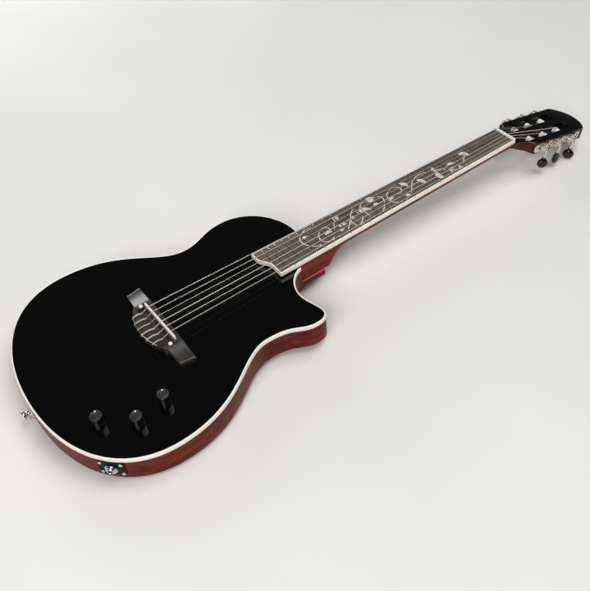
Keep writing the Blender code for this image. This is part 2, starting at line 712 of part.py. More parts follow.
def bridge_height(x):
    """Height of the bridge over the top: thin wings with bevelled ends, a level middle."""
    places = (0, BRIDGE_SHELF_HALF, BRIDGE_WING_START, BRIDGE_HALF - BRIDGE_END_BEVEL, BRIDGE_HALF)
    heights = (BRIDGE_SHELF, BRIDGE_SHELF, BRIDGE_WING, BRIDGE_WING - 0.3, 1.8)
    return float(np.interp(abs(x), places, heights))


def bridge_end_shift(x, y):
    """The wings' ends lean outwards at the front: a shear that grows from the shelf to the end."""
    grown = max(abs(x) - BRIDGE_SHELF_HALF, 0.0) / (BRIDGE_HALF - BRIDGE_SHELF_HALF)
    return math.copysign(BRIDGE_END_SHEAR * grown, x) * (y + BRIDGE_WING_BACK / 2)


def make_bridge():
    wing_y = (0, 0, 0.05, 0.13, 0.25, 0.35, 0.45, 0.55, 0.65, 0.75, 0.86, 0.95, 1, 1)
    wing_z = (0, 0.7, 0.93, 1, 1, 1, 1, 1, 1, 0.99, 0.92, 0.75, 0.5, 0)
    shelf, tie, valley = BRIDGE_SHELF, TIE_BLOCK_HEIGHT, BRIDGE_VALLEY
    rings = []
    steps = TIE_BLOCK_HALF * np.array((1.07, 1.0, 0.72, 0.36, 0.0))
    places = [-BRIDGE_HALF, BRIDGE_END_BEVEL - BRIDGE_HALF, -BRIDGE_WING_START, -BRIDGE_SHELF_HALF]
    places += [-float(step) for step in steps]
    for x in places + [-p for p in places[-2::-1]]:
        back = bridge_back(x)
        height = bridge_height(x)
        if abs(x) <= TIE_BLOCK_HALF:
            front = TIE_BLOCK_FRONT
            ys = (BRIDGE_FRONT, BRIDGE_FRONT, BRIDGE_FRONT - 1.2, BRIDGE_FRONT - 3, -4, -5, 0.5 - front, -front,
                  -front - 1, 7 - back, 3 - back, 0.8 - back, -back, -back)
            zs = (0, shelf * 0.7, shelf * 0.93, shelf, shelf, valley, valley, tie - 0.6, tie, tie, tie - 1.5,
                  0.54 * tie, 0.35 * tie, 0)
        else:
            width = BRIDGE_FRONT + back
            ys = [BRIDGE_FRONT - f * width for f in wing_y]
            zs = [f * height for f in wing_z]
        rings.append([(x + bridge_end_shift(x, y), y, BRIDGE_BOTTOM + z) for y, z in zip(ys, zs)])
    floor = BRIDGE_BOTTOM + BRIDGE_SHELF - SADDLE_SLOT_DEPTH
    slot_top = BRIDGE_BOTTOM + TIE_BLOCK_HEIGHT + 5
    room = (2 * (SADDLE_HALF + SEAT_GAP), SADDLE_THICKNESS + 2 * SEAT_GAP, slot_top - floor)
    slant = turn(SADDLE_SLANT, "Z")
    tools = [moved(box(room, (0, 0, (slot_top + floor) / 2)), slant)]
    for i in range(6):
        hole = rod(STRING_HOLE_RADIUS, -10 - BRIDGE_BACK, 6 - TIE_BLOCK_FRONT, 8)
        turned = shift(string_x(i, STRING_SPREAD_SADDLE), 0, BRIDGE_BOTTOM + STRING_HOLE_HEIGHT) @ turn(-90, "X")
        tools.append(moved(hole, turned))
    dot_top = BRIDGE_BOTTOM + BRIDGE_SHELF
    for side in (-1, 1):
        recess = rod(DOT_RADIUS + SEAT_GAP, dot_top - DOT_DEPTH, dot_top + 3, 12)
        tools.append(moved(recess, shift(side * DOT_X, DOT_Y)))
    place("bridge", cut(loft(rings), *tools), bridge_wood)
    for side, name in ((-1, "bass"), (1, "treble")):
        low = dot_top - DOT_DEPTH + SEAT_GAP
        dot = lathe([(DOT_RADIUS, low), (DOT_RADIUS, dot_top + 0.1), (DOT_RADIUS - 0.7, dot_top + DOT_PROUD)])
        place(f"bridge_dot_{name}", dot, pearl, shift(side * DOT_X, DOT_Y))

    pickup_low = floor + SEAT_GAP
    pickup = box((2 * PICKUP_HALF, SADDLE_THICKNESS - 0.6, PICKUP_THICKNESS),
                 (0, 0, pickup_low + PICKUP_THICKNESS / 2))
    place("saddle_pickup", moved(pickup, slant), ceramic)
    low = pickup_low + PICKUP_THICKNESS + SEAT_GAP
    top = STRING_Z_SADDLE - SEAT_GAP
    half = SADDLE_THICKNESS / 2
    side_view = [(-half, low), (half, low), (half, top - 1.1), (0.6 * half, top - 0.25), (0, top),
                 (-0.6 * half, top - 0.25), (-half, top - 1.1)]
    reach = SADDLE_HALF
    saddle = loft([[(x, y, z) for y, z in side_view] for x in (-reach, reach)])
    place("saddle", moved(saddle, slant), bone)


# Strings, from the tie block over saddle and nut to the wraps on the rollers

def roller_place(i):
    """Side and distance from the nut of string i's roller: outer strings wind nearest the nut."""
    side = -1 if i < 3 else 1
    order = i if i < 3 else 5 - i
    return side, ROLLER_FIRST + order * ROLLER_SPACING


def string_route(i):
    radius = STRING_DIAMETERS[i] / 2
    x_saddle = string_x(i, STRING_SPREAD_SADDLE)
    y_saddle = x_saddle * math.tan(math.radians(SADDLE_SLANT))
    x_nut = string_x(i, STRING_SPREAD_NUT)
    back = -bridge_back(x_saddle)
    hole = BRIDGE_BOTTOM + STRING_HOLE_HEIGHT
    over = BRIDGE_BOTTOM + TIE_BLOCK_HEIGHT + radius + SEAT_GAP + 0.1
    middle = (back - TIE_BLOCK_FRONT) / 2
    route = [(x_saddle + 1.9, -TIE_BLOCK_FRONT - 2.0, over), (x_saddle + 1.8, middle, over),
             (x_saddle + 1.6, back + 6.5, over), (x_saddle + 1.4, back + 3.6, over - 0.1),
             (x_saddle + 1.1, back + 1.0, over - 0.9), (x_saddle + 0.8, back - 0.5, over - 2.1),
             (x_saddle + 0.4, back - 0.5, hole + 0.5), (x_saddle + 0.1, back + 0.9, hole),
             (x_saddle, back + 2.6, hole), (x_saddle, -TIE_BLOCK_FRONT, hole),
             (x_saddle, -TIE_BLOCK_FRONT + 0.8, hole + 0.15),
             (x_saddle, y_saddle - 0.9, STRING_Z_SADDLE + radius - 0.25), (x_saddle, y_saddle, STRING_Z_SADDLE + radius),
             (x_saddle, y_saddle + 0.9, STRING_Z_SADDLE + radius)]
    z_nut = STRING_Z_NUT + radius
    route.append((x_nut, SCALE_LENGTH, z_nut))
    route.append((x_nut, SCALE_LENGTH + NUT_LENGTH, z_nut))
    side, u_roller = roller_place(i)
    lift = z_nut - BOARD_BOTTOM
    u_nut = NUT_LENGTH * math.cos(TILT) - lift * math.sin(TILT)
    n_nut = NUT_LENGTH * math.sin(TILT) + lift * math.cos(TILT)
    wrap = ROLLER_RADIUS + SEAT_GAP + radius
    du, dn = u_roller - u_nut, -ROLLER_DEPTH - n_nut
    slope = math.atan2(dn, du) + math.asin(wrap / math.hypot(du, dn))
    pitch = 2 * radius + WRAP_SPACING
    order = i if i < 3 else 5 - i
    x_start = side * (SLOT_CENTRE + (2.2, -1.6, -5.4)[order])
    steps = 10
    for k in range(int(WRAP_TURNS * steps) + 1):
        a = -slope + 2 * math.pi * k / steps
        route.append(head_point(x_start + side * pitch * k / steps, u_roller + wrap * math.sin(a),
                                -ROLLER_DEPTH + wrap * math.cos(a)))
    return route


def least_gap(route, diameter, apart):
    """Smallest clear distance between stretches of a route that are well apart along it."""
    points = []
    for a, b in zip(route[:-1], route[1:]):
        count = max(int(math.dist(a, b) / 0.5), 1)
        points += [np.array(a) + (np.array(b) - np.array(a)) * k / count for k in range(count)]
    points = np.array(points)
    run = np.concatenate(([0.0], np.cumsum(np.linalg.norm(np.diff(points, axis=0), axis=1))))
    gaps = np.linalg.norm(points[:, None] - points[None], axis=2)
    gaps[np.abs(run[:, None] - run[None]) < apart] = np.inf
    return float(gaps.min()) - diameter


def make_strings():
    names = ("string_6_low_e", "string_5_a", "string_4_d", "string_3_g", "string_2_b", "string_1_high_e")
    for i, name in enumerate(names):
        route = string_route(i)
        curve = bpy.data.curves.new(name, "CURVE")
        curve.dimensions = "3D"
        curve.bevel_depth = STRING_DIAMETERS[i] / 2 * MM
        curve.bevel_resolution = 1
        curve.use_fill_caps = True
        spline = curve.splines.new("POLY")
        spline.points.add(len(route) - 1)
        for point, place_at in zip(spline.points, route):
            point.co = (*[c * MM for c in place_at], 1.0)
        curve.materials.append(wound if i < 3 else nylon)
        bpy.context.scene.collection.objects.link(bpy.data.objects.new(name, curve))
        print(name, "least gap to itself", round(least_gap(route, STRING_DIAMETERS[i], 8.0), 2), "mm")


# Tuning machines: rollers, gears on their posts, worms, buttons and two plates

def gear_mesh():
    """Worm wheel and steel post in one piece; teeth leave a gap facing the worm."""
    tip, root = GEAR_RADIUS + GEAR_ADDENDUM, GEAR_RADIUS - GEAR_DEDENDUM
    outline = []
    for k in range(GEAR_TEETH):
        centre = (k + 0.5) * 2 * math.pi / GEAR_TEETH
        for radius, half in ((root, -GEAR_TOOTH_BASE / 2), (tip, -GEAR_TOOTH_TIP / 2),
                             (tip, GEAR_TOOTH_TIP / 2), (root, GEAR_TOOTH_BASE / 2)):
            a = centre + half / radius
            outline.append((radius * math.cos(a), radius * math.sin(a)))
    wheel = prism(outline, WORM_X - GEAR_WIDTH / 2, WORM_X + GEAR_WIDTH / 2)
    post = rod(POST_RADIUS, POST_END, WORM_X + GEAR_WIDTH / 2 + 1.2, 10)
    upright = Matrix(((0, 0, 1, 0), (1, 0, 0, 0), (0, 1, 0, 0), (0, 0, 0, 1)))
    return moved(join(wheel, post), upright)


def worm_mesh():
    """Shaft with collars, journals and a right-handed ridge that faces the wheel at its middle."""
    inner = EAR_OFFSET - EAR_THICKNESS / 2 - SEAT_GAP
    outer = EAR_OFFSET + EAR_THICKNESS / 2 + SEAT_GAP
    core = lathe([(SHAFT_RADIUS, -SHAFT_END), (SHAFT_RADIUS, -outer), (JOURNAL_RADIUS, -outer),
                  (JOURNAL_RADIUS, -inner), (WORM_CORE_RADIUS, -inner), (WORM_CORE_RADIUS, inner),
                  (JOURNAL_RADIUS, inner), (JOURNAL_RADIUS, outer + 0.8)], 10)
    low, high = WORM_CORE_RADIUS - 0.4, WORM_TIP_RADIUS
    rings = []
    count = int(WORM_TURNS * WORM_STEPS)
    for k in range(count + 1):
        turned = (k - count / 2) / WORM_STEPS
        a = -math.pi / 2 + 2 * math.pi * turned
        z = GEAR_PITCH * turned
        ring = []
        for radius, up in ((low, -WORM_RIDGE_BASE / 2), (high, -WORM_RIDGE_TIP / 2),
                           (high, WORM_RIDGE_TIP / 2), (low, WORM_RIDGE_BASE / 2)):
            ring.append((radius * math.cos(a), radius * math.sin(a), z + up))
        rings.append(ring)
    return join(core, loft(rings))


def button_mesh():
    """Flat oval finger button with a round collar and a blind bore for the shaft."""
    shape = ((0.0, 3.4, 3.4), (0.12, 3.4, 3.4), (0.19, 4.6, 3.9), (0.35, 0.93 * BUTTON_HALF_WIDTH, 4.6),
             (0.55, BUTTON_HALF_WIDTH, BUTTON_HALF_THICKNESS), (0.76, 0.9 * BUTTON_HALF_WIDTH, 4.6),
             (0.92, 0.62 * BUTTON_HALF_WIDTH, 3.6), (1.0, 0.25 * BUTTON_HALF_WIDTH, 1.8))
    rings = [ring_points(wide, -BUTTON_START - share * BUTTON_LENGTH, 14, thin / wide)
             for share, wide, thin in shape]
    bore = rod(SHAFT_RADIUS + SEAT_GAP, -BUTTON_START - BUTTON_BORE_DEPTH, -BUTTON_START + 5, 12)
    return cut(loft(rings, smooth=True), bore)


def make_tuners():
    gear, worm, button = gear_mesh(), worm_mesh(), button_mesh()
    inside = SLOT_CENTRE - SLOT_WIDTH / 2 + 0.4
    outside = SLOT_CENTRE + SLOT_WIDTH / 2 - 0.4
    sleeve = cut(rod(ROLLER_RADIUS, inside, outside, 16), rod(POST_RADIUS + SEAT_GAP, 0, HEAD_HALF, 10))
    sleeve = moved(sleeve, turn(90, "Y"))
    numbers = (6, 5, 4, 3, 2, 1)
    for i in range(6):
        side, u = roller_place(i)
        facing = turn(0 if side > 0 else 180, "Z")
        axle = HEAD_FRAME @ shift(0, u, -ROLLER_DEPTH) @ facing
        place(f"tuner_roller_{numbers[i]}", sleeve.copy(), white_plastic, axle)
        place(f"tuner_gear_{numbers[i]}", gear.copy(), brass, axle)
        shaft = HEAD_FRAME @ shift(side * WORM_X, u + WORM_OFFSET, -ROLLER_DEPTH)
        place(f"tuner_worm_{numbers[i]}", worm.copy(), nickel, shaft)
        place(f"tuner_button_{numbers[i]}", button.copy(), black_plastic, shaft @ turn(BUTTON_TURNS[i], "Z"))
    length = 2 * ROLLER_SPACING + WORM_OFFSET + 2 * PLATE_OVERHANG + 8
    middle = ROLLER_FIRST + ROLLER_SPACING + WORM_OFFSET / 2
    width = 2 * EAR_OFFSET + EAR_THICKNESS
    for side, name in ((-1, "bass"), (1, "treble")):
        centre_x = side * (PLATE_INNER + PLATE_THICKNESS / 2)
        sheet = box((PLATE_THICKNESS, length, width), (centre_x, middle, -ROLLER_DEPTH))
        ears = []
        bores = []
        ear_end = WORM_X + JOURNAL_RADIUS + 2.2
        ear_start = PLATE_INNER + 0.5
        for k in range(3):
            u = ROLLER_FIRST + k * ROLLER_SPACING
            bores.append(moved(rod(POST_RADIUS + SEAT_GAP, HEAD_HALF - 4, HEAD_HALF + 6, 12),
                               shift(0, u, -ROLLER_DEPTH) @ turn(90 * side, "Y")))
            bores.append(moved(rod(JOURNAL_RADIUS + SEAT_GAP, -12, 12, 12),
                               shift(side * WORM_X, u + WORM_OFFSET, -ROLLER_DEPTH)))
            for way in (-1, 1):
                ears.append(box((ear_end - ear_start, 2 * WORM_TIP_RADIUS, EAR_THICKNESS),
                                (side * (ear_start + ear_end) / 2, u + WORM_OFFSET,
                                 -ROLLER_DEPTH + way * EAR_OFFSET * 0.9999)))
        plate = cut(join(sheet, *ears), *bores)
        place(f"tuner_plate_{name}", moved(plate, HEAD_FRAME), nickel)


# Knobs, pots, jack, strap button and the parts behind the back covers

def make_controls():
    bottom = BODY_TOP + 0.6
    top = bottom + KNOB_HEIGHT
    turned = lathe([(KNOB_RADIUS, bottom), (KNOB_RADIUS, bottom + 1.6), (KNOB_TOP_RADIUS + 0.7, bottom + 2.4),
                    (KNOB_TOP_RADIUS, top - 2.0), (KNOB_TOP_RADIUS - 0.8, top - 0.5),
                    (KNOB_TOP_RADIUS - 2.2, top)], 20)
    knob = cut(turned, rod(POT_SHAFT_RADIUS + SEAT_GAP, BODY_TOP - 5, bottom + KNOB_BORE_DEPTH))
    pot_top = SHELL_TOP
    shaft_top = bottom + KNOB_BORE_DEPTH - SEAT_GAP
    pot = lathe([(POT_BODY_RADIUS, pot_top - POT_BODY_DEPTH), (POT_BODY_RADIUS, pot_top),
                 (POT_BUSH_RADIUS, pot_top), (POT_BUSH_RADIUS, BODY_TOP), (POT_SHAFT_RADIUS, BODY_TOP),
                 (POT_SHAFT_RADIUS, shaft_top)], 16)
    for name, (x, y) in zip(("volume", "bass", "treble"), KNOB_PLACES):
        place(f"{name}_knob", knob.copy(), black_plastic, shift(x, y))
        place(f"{name}_pot", pot.copy(), steel, shift(x, y))
    board_top = pot_top - POT_BODY_DEPTH - SEAT_GAP
    (x1, y1), (x2, y2) = KNOB_PLACES[1:]
    along = math.degrees(math.atan2(y2 - y1, x2 - x1))
    board = box(BOARD_SIZE, (0, 0, 0))
    place("preamp_board", board, circuit,
          shift((x1 + x2) / 2, (y1 + y2) / 2, board_top - BOARD_SIZE[2] / 2) @ turn(along, "Z"))
    cover = prism(bent_capsule(KNOB_PLACES, CAVITY_RADIUS + COVER_LIP - SEAT_GAP), 0, COVER_THICKNESS)
    place("control_cover", cover, black_plastic)

    outline = outline_at(JACK_RUN + np.linspace(-0.5, 0.5, 9) * JACK_PLATE_LENGTH)
    edge = np.gradient(outline, axis=0)
    out = np.stack((edge[:, 1], -edge[:, 0]), axis=1) / np.linalg.norm(edge, axis=1, keepdims=True)
    ring = [tuple(p) for p in outline + out * (JACK_PLATE_THICKNESS + SEAT_GAP)]
    ring += [tuple(p) for p in (outline + out * SEAT_GAP)[::-1]]
    low = JACK_HEIGHT - JACK_PLATE_HEIGHT / 2
    plate = cut(prism(ring, low, low + JACK_PLATE_HEIGHT),
                moved(rod(JACK_BUSH_RADIUS + SEAT_GAP, -10, 10), JACK_FRAME))
    place("jack_plate", plate, black_plastic)
    face = JACK_PLATE_THICKNESS + 2 * SEAT_GAP + 0.2
    behind = -0.9
    socket = lathe([(JACK_BARREL_RADIUS, behind - JACK_BARREL_LENGTH), (JACK_BARREL_RADIUS, behind),
                    (JACK_BUSH_RADIUS, behind), (JACK_BUSH_RADIUS, face), (JACK_NUT_RADIUS, face),
                    (JACK_NUT_RADIUS, face + JACK_NUT_THICKNESS),
                    (JACK_BUSH_RADIUS, face + JACK_NUT_THICKNESS), (JACK_BUSH_RADIUS, face + 4.0)], 16)
    socket = cut(socket, rod(JACK_BORE_RADIUS, -JACK_BARREL_LENGTH - 5, 12))
    place("jack_socket", socket, chrome, JACK_FRAME)

    end, head, neck = STRAP_BUTTON_LENGTH, STRAP_BUTTON_HEAD, STRAP_BUTTON_NECK
    button = lathe([(0.86 * head, SEAT_GAP), (0.86 * head, 1.8), (neck, 4.0), (neck, 0.6 * end),
                    (0.8 * head, 0.74 * end), (head, 0.84 * end), (head, 0.93 * end), (0.85 * head, end)], 16)
    place("strap_button", button, chrome, shift(0, -TAIL_REACH, STRAP_BUTTON_HEIGHT) @ turn(90, "X"))


def make_battery_box():
    x, y = BATTERY_PLACE
    tub_x, tub_y = battery_tub_size()
    tub_top, battery_top = battery_heights()
    flange = box((tub_x + 2 * BOX_FLANGE, tub_y + 2 * BOX_FLANGE, DOOR_THICKNESS), (x, y, DOOR_THICKNESS / 2))
    walls = box((tub_x, tub_y, tub_top - 1), (x, y, (tub_top + 1) / 2))
    room_top = tub_top - BOX_WALL
    room = box((tub_x - 2 * BOX_WALL, tub_y - 2 * BOX_WALL, room_top + 5), (x, y, (room_top - 5) / 2))
    door_x, door_y = [side - 2 * (BOX_WALL + SEAT_GAP) for side in (tub_x, tub_y)]
    hinge_y = y - door_y / 2 + DOOR_THICKNESS / 2
    hinge = shift(x, hinge_y, DOOR_THICKNESS / 2)
    pin_half = door_x / 2 + DOOR_PIN_LENGTH
    along = turn(90, "Y")
    seats = moved(rod(DOOR_PIN_RADIUS + SEAT_GAP, -pin_half - SEAT_GAP, pin_half + SEAT_GAP, 12), hinge @ along)
    place("battery_box", cut(join(flange, walls), room, seats), black_plastic)
    battery = box(BATTERY_SIZE, (x, y, battery_top - BATTERY_SIZE[2] / 2))
    place("battery", battery, steel)
    far_y = door_y - DOOR_THICKNESS / 2
    leaf = box((door_x, far_y, DOOR_THICKNESS), (0, far_y / 2, 0))
    knuckle = moved(rod(DOOR_THICKNESS / 2 * 0.9999, -door_x / 2 + 0.001, door_x / 2 - 0.001, 16), along)
    pin = moved(rod(DOOR_PIN_RADIUS, -pin_half, pin_half, 10), along)
    place("battery_door", join(leaf, knuckle, pin), black_plastic, hinge)


for old in list(bpy.data.objects):
    bpy.data.objects.remove(old)
make_body()
make_neck()
make_fingerboard()
make_nut()
make_bridge()
make_strings()
make_tuners()
make_controls()
make_battery_box()
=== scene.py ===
# The whole guitar, dressed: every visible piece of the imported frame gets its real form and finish.
import math

import bmesh
import bpy
import numpy as np
from mathutils import Matrix, Vector


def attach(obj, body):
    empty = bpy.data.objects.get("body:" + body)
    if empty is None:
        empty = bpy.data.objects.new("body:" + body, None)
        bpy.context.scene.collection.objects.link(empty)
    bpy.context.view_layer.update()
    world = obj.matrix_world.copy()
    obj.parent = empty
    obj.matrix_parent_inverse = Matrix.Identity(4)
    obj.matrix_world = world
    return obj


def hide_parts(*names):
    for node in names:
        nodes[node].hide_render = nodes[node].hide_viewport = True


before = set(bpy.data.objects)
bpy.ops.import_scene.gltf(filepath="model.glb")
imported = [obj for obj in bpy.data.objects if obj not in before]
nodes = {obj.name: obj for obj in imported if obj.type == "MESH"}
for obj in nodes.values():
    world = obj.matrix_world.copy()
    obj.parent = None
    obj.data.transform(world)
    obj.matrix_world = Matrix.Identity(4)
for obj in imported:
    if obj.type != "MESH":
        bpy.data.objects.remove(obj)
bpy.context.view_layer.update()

# The picture: the guitar lies on its back and is seen from above, past its treble side. It rests
# on its tail edge and on the tuner buttons, so the pale floor under it slopes by under two
# degrees. The key lamp stands past the tail on the treble side, a weaker one beside the bass
# side, and a broad one hangs over the neck.

MM = 0.001
VIEW_TURN, VIEW_DOWN, VIEW_ROLL = [math.radians(a) for a in (58.15, 46.93, 5.29)]
CAMERA_PLACE = (667.9, -198.6, 796.6)
LENS_WIDTH, LENS_LENGTH = 36.0, 45.57
TAIL_EDGE_Y = -192.0
FLOOR_HALF, FLOOR_DROP = 9.0, 0.0004
LAMPS = (("key_lamp", (1.35, -1.45, 1.75), 1.2, 40.0), ("side_lamp", (-2.3, 0.35, 0.8), 1.2, 21.0),
         ("top_lamp", (0.5, 1.3, 3.2), 2.6, 75.0))
LAMP_AIM = (0, 0.2, 0)
SKY_COLOUR, SKY_STRENGTH = "#e8ecf2", 0.06
EVEN = (1, 1, 1)


def linear(colour):
    """Linear RGBA from an sRGB hex colour: the power law above 0.04045, a straight line below it."""
    parts = np.array([int(colour[i:i + 2], 16) for i in (1, 3, 5)]) / 255
    parts = np.where(parts > 0.04045, ((parts + 0.055) / 1.055) ** 2.4, parts / 12.92)
    return (*parts.tolist(), 1.0)


def add(tree, kind, inputs=None, **settings):
    """One node with its settings; each input takes a value or another node's output socket."""
    made = tree.nodes.new("ShaderNode" + kind)
    for name, value in settings.items():
        setattr(made, name, value)
    for socket, value in (inputs or {}).items():
        if isinstance(value, bpy.types.NodeSocket):
            tree.links.new(value, made.inputs[socket])
        else:
            made.inputs[socket].default_value = value
    return made


def finish(name, **sockets):
    """A material whose shader takes plain values by socket name; returns material, tree and shader."""
    made = bpy.data.materials.new(name)
    made.use_nodes = True
    tree = made.node_tree
    shader = tree.nodes["Principled BSDF"]
    for socket, value in sockets.items():
        shader.inputs[socket.replace("_", " ")].default_value = value
    return made, tree, shader


def grain_space(tree, stretch):
    """Object coordinates in metres, scaled along each axis by stretch."""
    place = add(tree, "TexCoord").outputs["Object"]
    return add(tree, "Mapping", {"Vector": place, "Scale": stretch}).outputs["Vector"]


def ramp(tree, factor, stops):
    """A colour ramp through (place, hex colour) stops, or between two hex colours."""
    if isinstance(stops[0], str):
        stops = tuple(zip((0.3, 0.7), stops))
    made = add(tree, "ValToRGB", {"Fac": factor})
    marks = made.color_ramp.elements
    while len(marks) < len(stops):
        marks.new(0.5)
    for mark, (place, colour) in zip(marks, stops):
        mark.position = place
        mark.color = linear(colour)
    return made.outputs["Color"]


def grain(tree, scale, detail, stretch=EVEN, distortion=0.0, **more):
    """Noise in the piece's own metres: a larger scale gives a finer grain."""
    return add(tree, "TexNoise", {"Vector": grain_space(tree, stretch), "Scale": scale, "Detail": detail,
                                  "Distortion": distortion, **more}).outputs["Fac"]


def remap(tree, value, low, high, to_low=0.0, to_high=1.0):
    """A value carried from one range to another."""
    return add(tree, "MapRange", {"Value": value, "From Min": low, "From Max": high, "To Min": to_low,
                                  "To Max": to_high}).outputs["Result"]


def calc(tree, operation, *values):
    """One operation on values or sockets."""
    return add(tree, "Math", dict(enumerate(values)), operation=operation).outputs[0]


def split(tree, output):
    """X, Y and Z of the piece's own coordinates (Object) or of its normal (Normal)."""
    return add(tree, "SeparateXYZ", {"Vector": add(tree, "TexCoord").outputs[output]}).outputs


def blend(tree, factor, below, above):
    """From one colour to another as the factor grows; each is a socket or a hex colour."""
    below, above = [linear(c) if isinstance(c, str) else c for c in (below, above)]
    return add(tree, "Mix", {0: factor, 6: below, 7: above}, data_type="RGBA").outputs[2]


def emboss(tree, shader, height, strength, depth):
    """Relief from a pattern: its strength, and its depth in metres."""
    relief = add(tree, "Bump", {"Height": height, "Strength": strength, "Distance": depth})
    tree.links.new(relief.outputs["Normal"], shader.inputs["Normal"])


def tinted(name, scale, detail, stops, stretch=EVEN, distortion=0.0, gloss=None, relief=None, **sockets):
    """A finish tinted by one grain. Gloss gives the two ends of a varied roughness. Relief gives a
    strength, a depth and, where the relief has a grain of its own, that grain's measures."""
    made, tree, shader = finish(name, **sockets)
    pattern = grain(tree, scale, detail, stretch, distortion)
    tree.links.new(ramp(tree, pattern, stops), shader.inputs["Base Color"])
    if gloss:
        tree.links.new(remap(tree, pattern, 0, 1, *gloss), shader.inputs["Roughness"])
    if relief:
        strength, depth, *own = relief
        emboss(tree, shader, grain(tree, *own) if own else pattern, strength, depth)
    return made


def dress(surface, *names):
    """Solids that already have their final form take only a finish."""
    for name in names:
        nodes[name].data.materials[0] = surface


turn_right = Vector((math.cos(VIEW_TURN), math.sin(VIEW_TURN), 0))
look = Vector((-math.sin(VIEW_TURN) * math.cos(VIEW_DOWN), math.cos(VIEW_TURN) * math.cos(VIEW_DOWN),
               -math.sin(VIEW_DOWN)))
level_up = turn_right.cross(look)
right = math.cos(VIEW_ROLL) * turn_right - math.sin(VIEW_ROLL) * level_up
upward = math.sin(VIEW_ROLL) * turn_right + math.cos(VIEW_ROLL) * level_up
camera = bpy.data.objects.new("camera", bpy.data.cameras.new("camera"))
camera.data.sensor_fit = "HORIZONTAL"
camera.data.sensor_width = LENS_WIDTH
camera.data.lens = LENS_LENGTH
camera.matrix_world = Matrix.Translation(Vector(CAMERA_PLACE) * MM) @ Matrix(
    (right, upward, -look)).transposed().to_4x4()
bpy.context.scene.collection.objects.link(camera)
bpy.context.scene.camera = camera
bpy.context.scene.view_settings.view_transform = "Standard"

buttons = np.concatenate([np.array([v.co for v in nodes[f"tuner_button_{k}"].data.vertices])
                          for k in range(1, 7)])
floor_slope = float(np.min(buttons[:, 2] / (buttons[:, 1] - TAIL_EDGE_Y * MM)))
# Painted studio floor: pale and matt, with faint broad mottling that stops it looking flat.
floor_paint = tinted("painted_floor", 2.5, 4.0, ("#e6e5e2", "#ecebe8"), Roughness=0.75)
floor_mesh = bpy.data.meshes.new("floor")
floor_mesh.from_pydata([(x * FLOOR_HALF, y * FLOOR_HALF,
                         floor_slope * (y * FLOOR_HALF - TAIL_EDGE_Y * MM) - FLOOR_DROP)
                        for x, y in ((-1, -1), (1, -1), (1, 1), (-1, 1))], [], [(0, 1, 2, 3)])
floor_mesh.materials.append(floor_paint)
floor = bpy.data.objects.new("floor", floor_mesh)
bpy.context.scene.collection.objects.link(floor)

for name, place, size, watts in LAMPS:
    lamp = bpy.data.objects.new(name, bpy.data.lights.new(name, "AREA"))
    lamp.data.size = size
    lamp.data.energy = watts
    lamp.location = place
    lamp.rotation_euler = (Vector(LAMP_AIM) - Vector(place)).to_track_quat("-Z", "Y").to_euler()
    bpy.context.scene.collection.objects.link(lamp)
world = bpy.data.worlds.new("studio")
world.use_nodes = True
sky = world.node_tree.nodes["Background"].inputs
sky["Color"].default_value = linear(SKY_COLOUR)
sky["Strength"].default_value = SKY_STRENGTH
bpy.context.scene.world = world


# The body: mahogany sides and back carved from one board, with the back edge rounded over.
# The neck's pocket is open at the cutaway, and a thin ledge of the body runs on under the heel.
# Recesses in the back take the cover over the pots and the battery box.

BODY_TOP = 42.0
TAIL_REACH = 195.6
LOWER_HALF, LOWER_Y = 176.7, -67.6
WAIST_HALF, WAIST_Y = 110.9, 98.9
UPPER_HALF, UPPER_Y = 128.6, 174.3
HORN_HALF, HORN_Y = 129.1, 169.7
SHOULDER_X, JOINT_Y = -42.0, 253.5
CUTAWAY_X, CUTAWAY_Y = 30.2, 212.0
BACK_ROUND = 3.5
TOP_THICKNESS = 4.0
BINDING_WIDTH, BINDING_HEIGHT = 2.2, 5.5
LEDGE_THICKNESS = 12.0
FRET_COUNT = 22
SCALE_LENGTH = 650.0
LAST_FRET_Y = SCALE_LENGTH * 2 ** (-FRET_COUNT / 12)
NUT_HALF, LAST_FRET_HALF = 21.7, 29.4
TENON_END = 187.5
KNOB_PLACES = np.array(((91.5, -136.5), (121.8, -97.6), (114.2, -56.6)))
COVER_RADIUS, COVER_THICKNESS = 29.0, 2.0
BATTERY_X, BATTERY_Y = 28.0, -128.0
BOX_HALF_X, BOX_HALF_Y, BOX_ROUT = 20.5, 31.5, 26.0
GLUE_LINE, ROUT_GAP, ROUT_LOW = 0.05, 0.3, -5.0
CURVE_STEPS = 26
RIGHT_ANGLE = math.pi / 2


def unit(angle):
    """Points of the unit circle at the given angles."""
    return np.stack((np.cos(angle), np.sin(angle)), axis=-1)


def quarter(count):
    """Angles over a quarter turn, both ends included."""
    return np.linspace(0, RIGHT_ANGLE, count)


def circle(count):
    """Angles round a whole turn."""
    return np.linspace(0, 2 * math.pi, count, endpoint=False)


def curve(stations):
    """Plan points of cubic curves through stations (x, y, heading, handle in, handle out)."""
    parts = []
    t = np.linspace(0, 1, CURVE_STEPS, endpoint=False)[:, None]
    for a, b in zip(stations[:-1], stations[1:]):
        start, end = np.array(a[:2]), np.array(b[:2])
        leave = start + a[4] * unit(math.radians(a[2]))
        arrive = end - b[3] * unit(math.radians(b[2]))
        parts.append((1 - t) ** 3 * start + 3 * (1 - t) ** 2 * t * leave + 3 * (1 - t) * t ** 2 * arrive
                     + t ** 3 * end)
    return np.concatenate(parts + [np.array(stations[-1][:2])[None]])


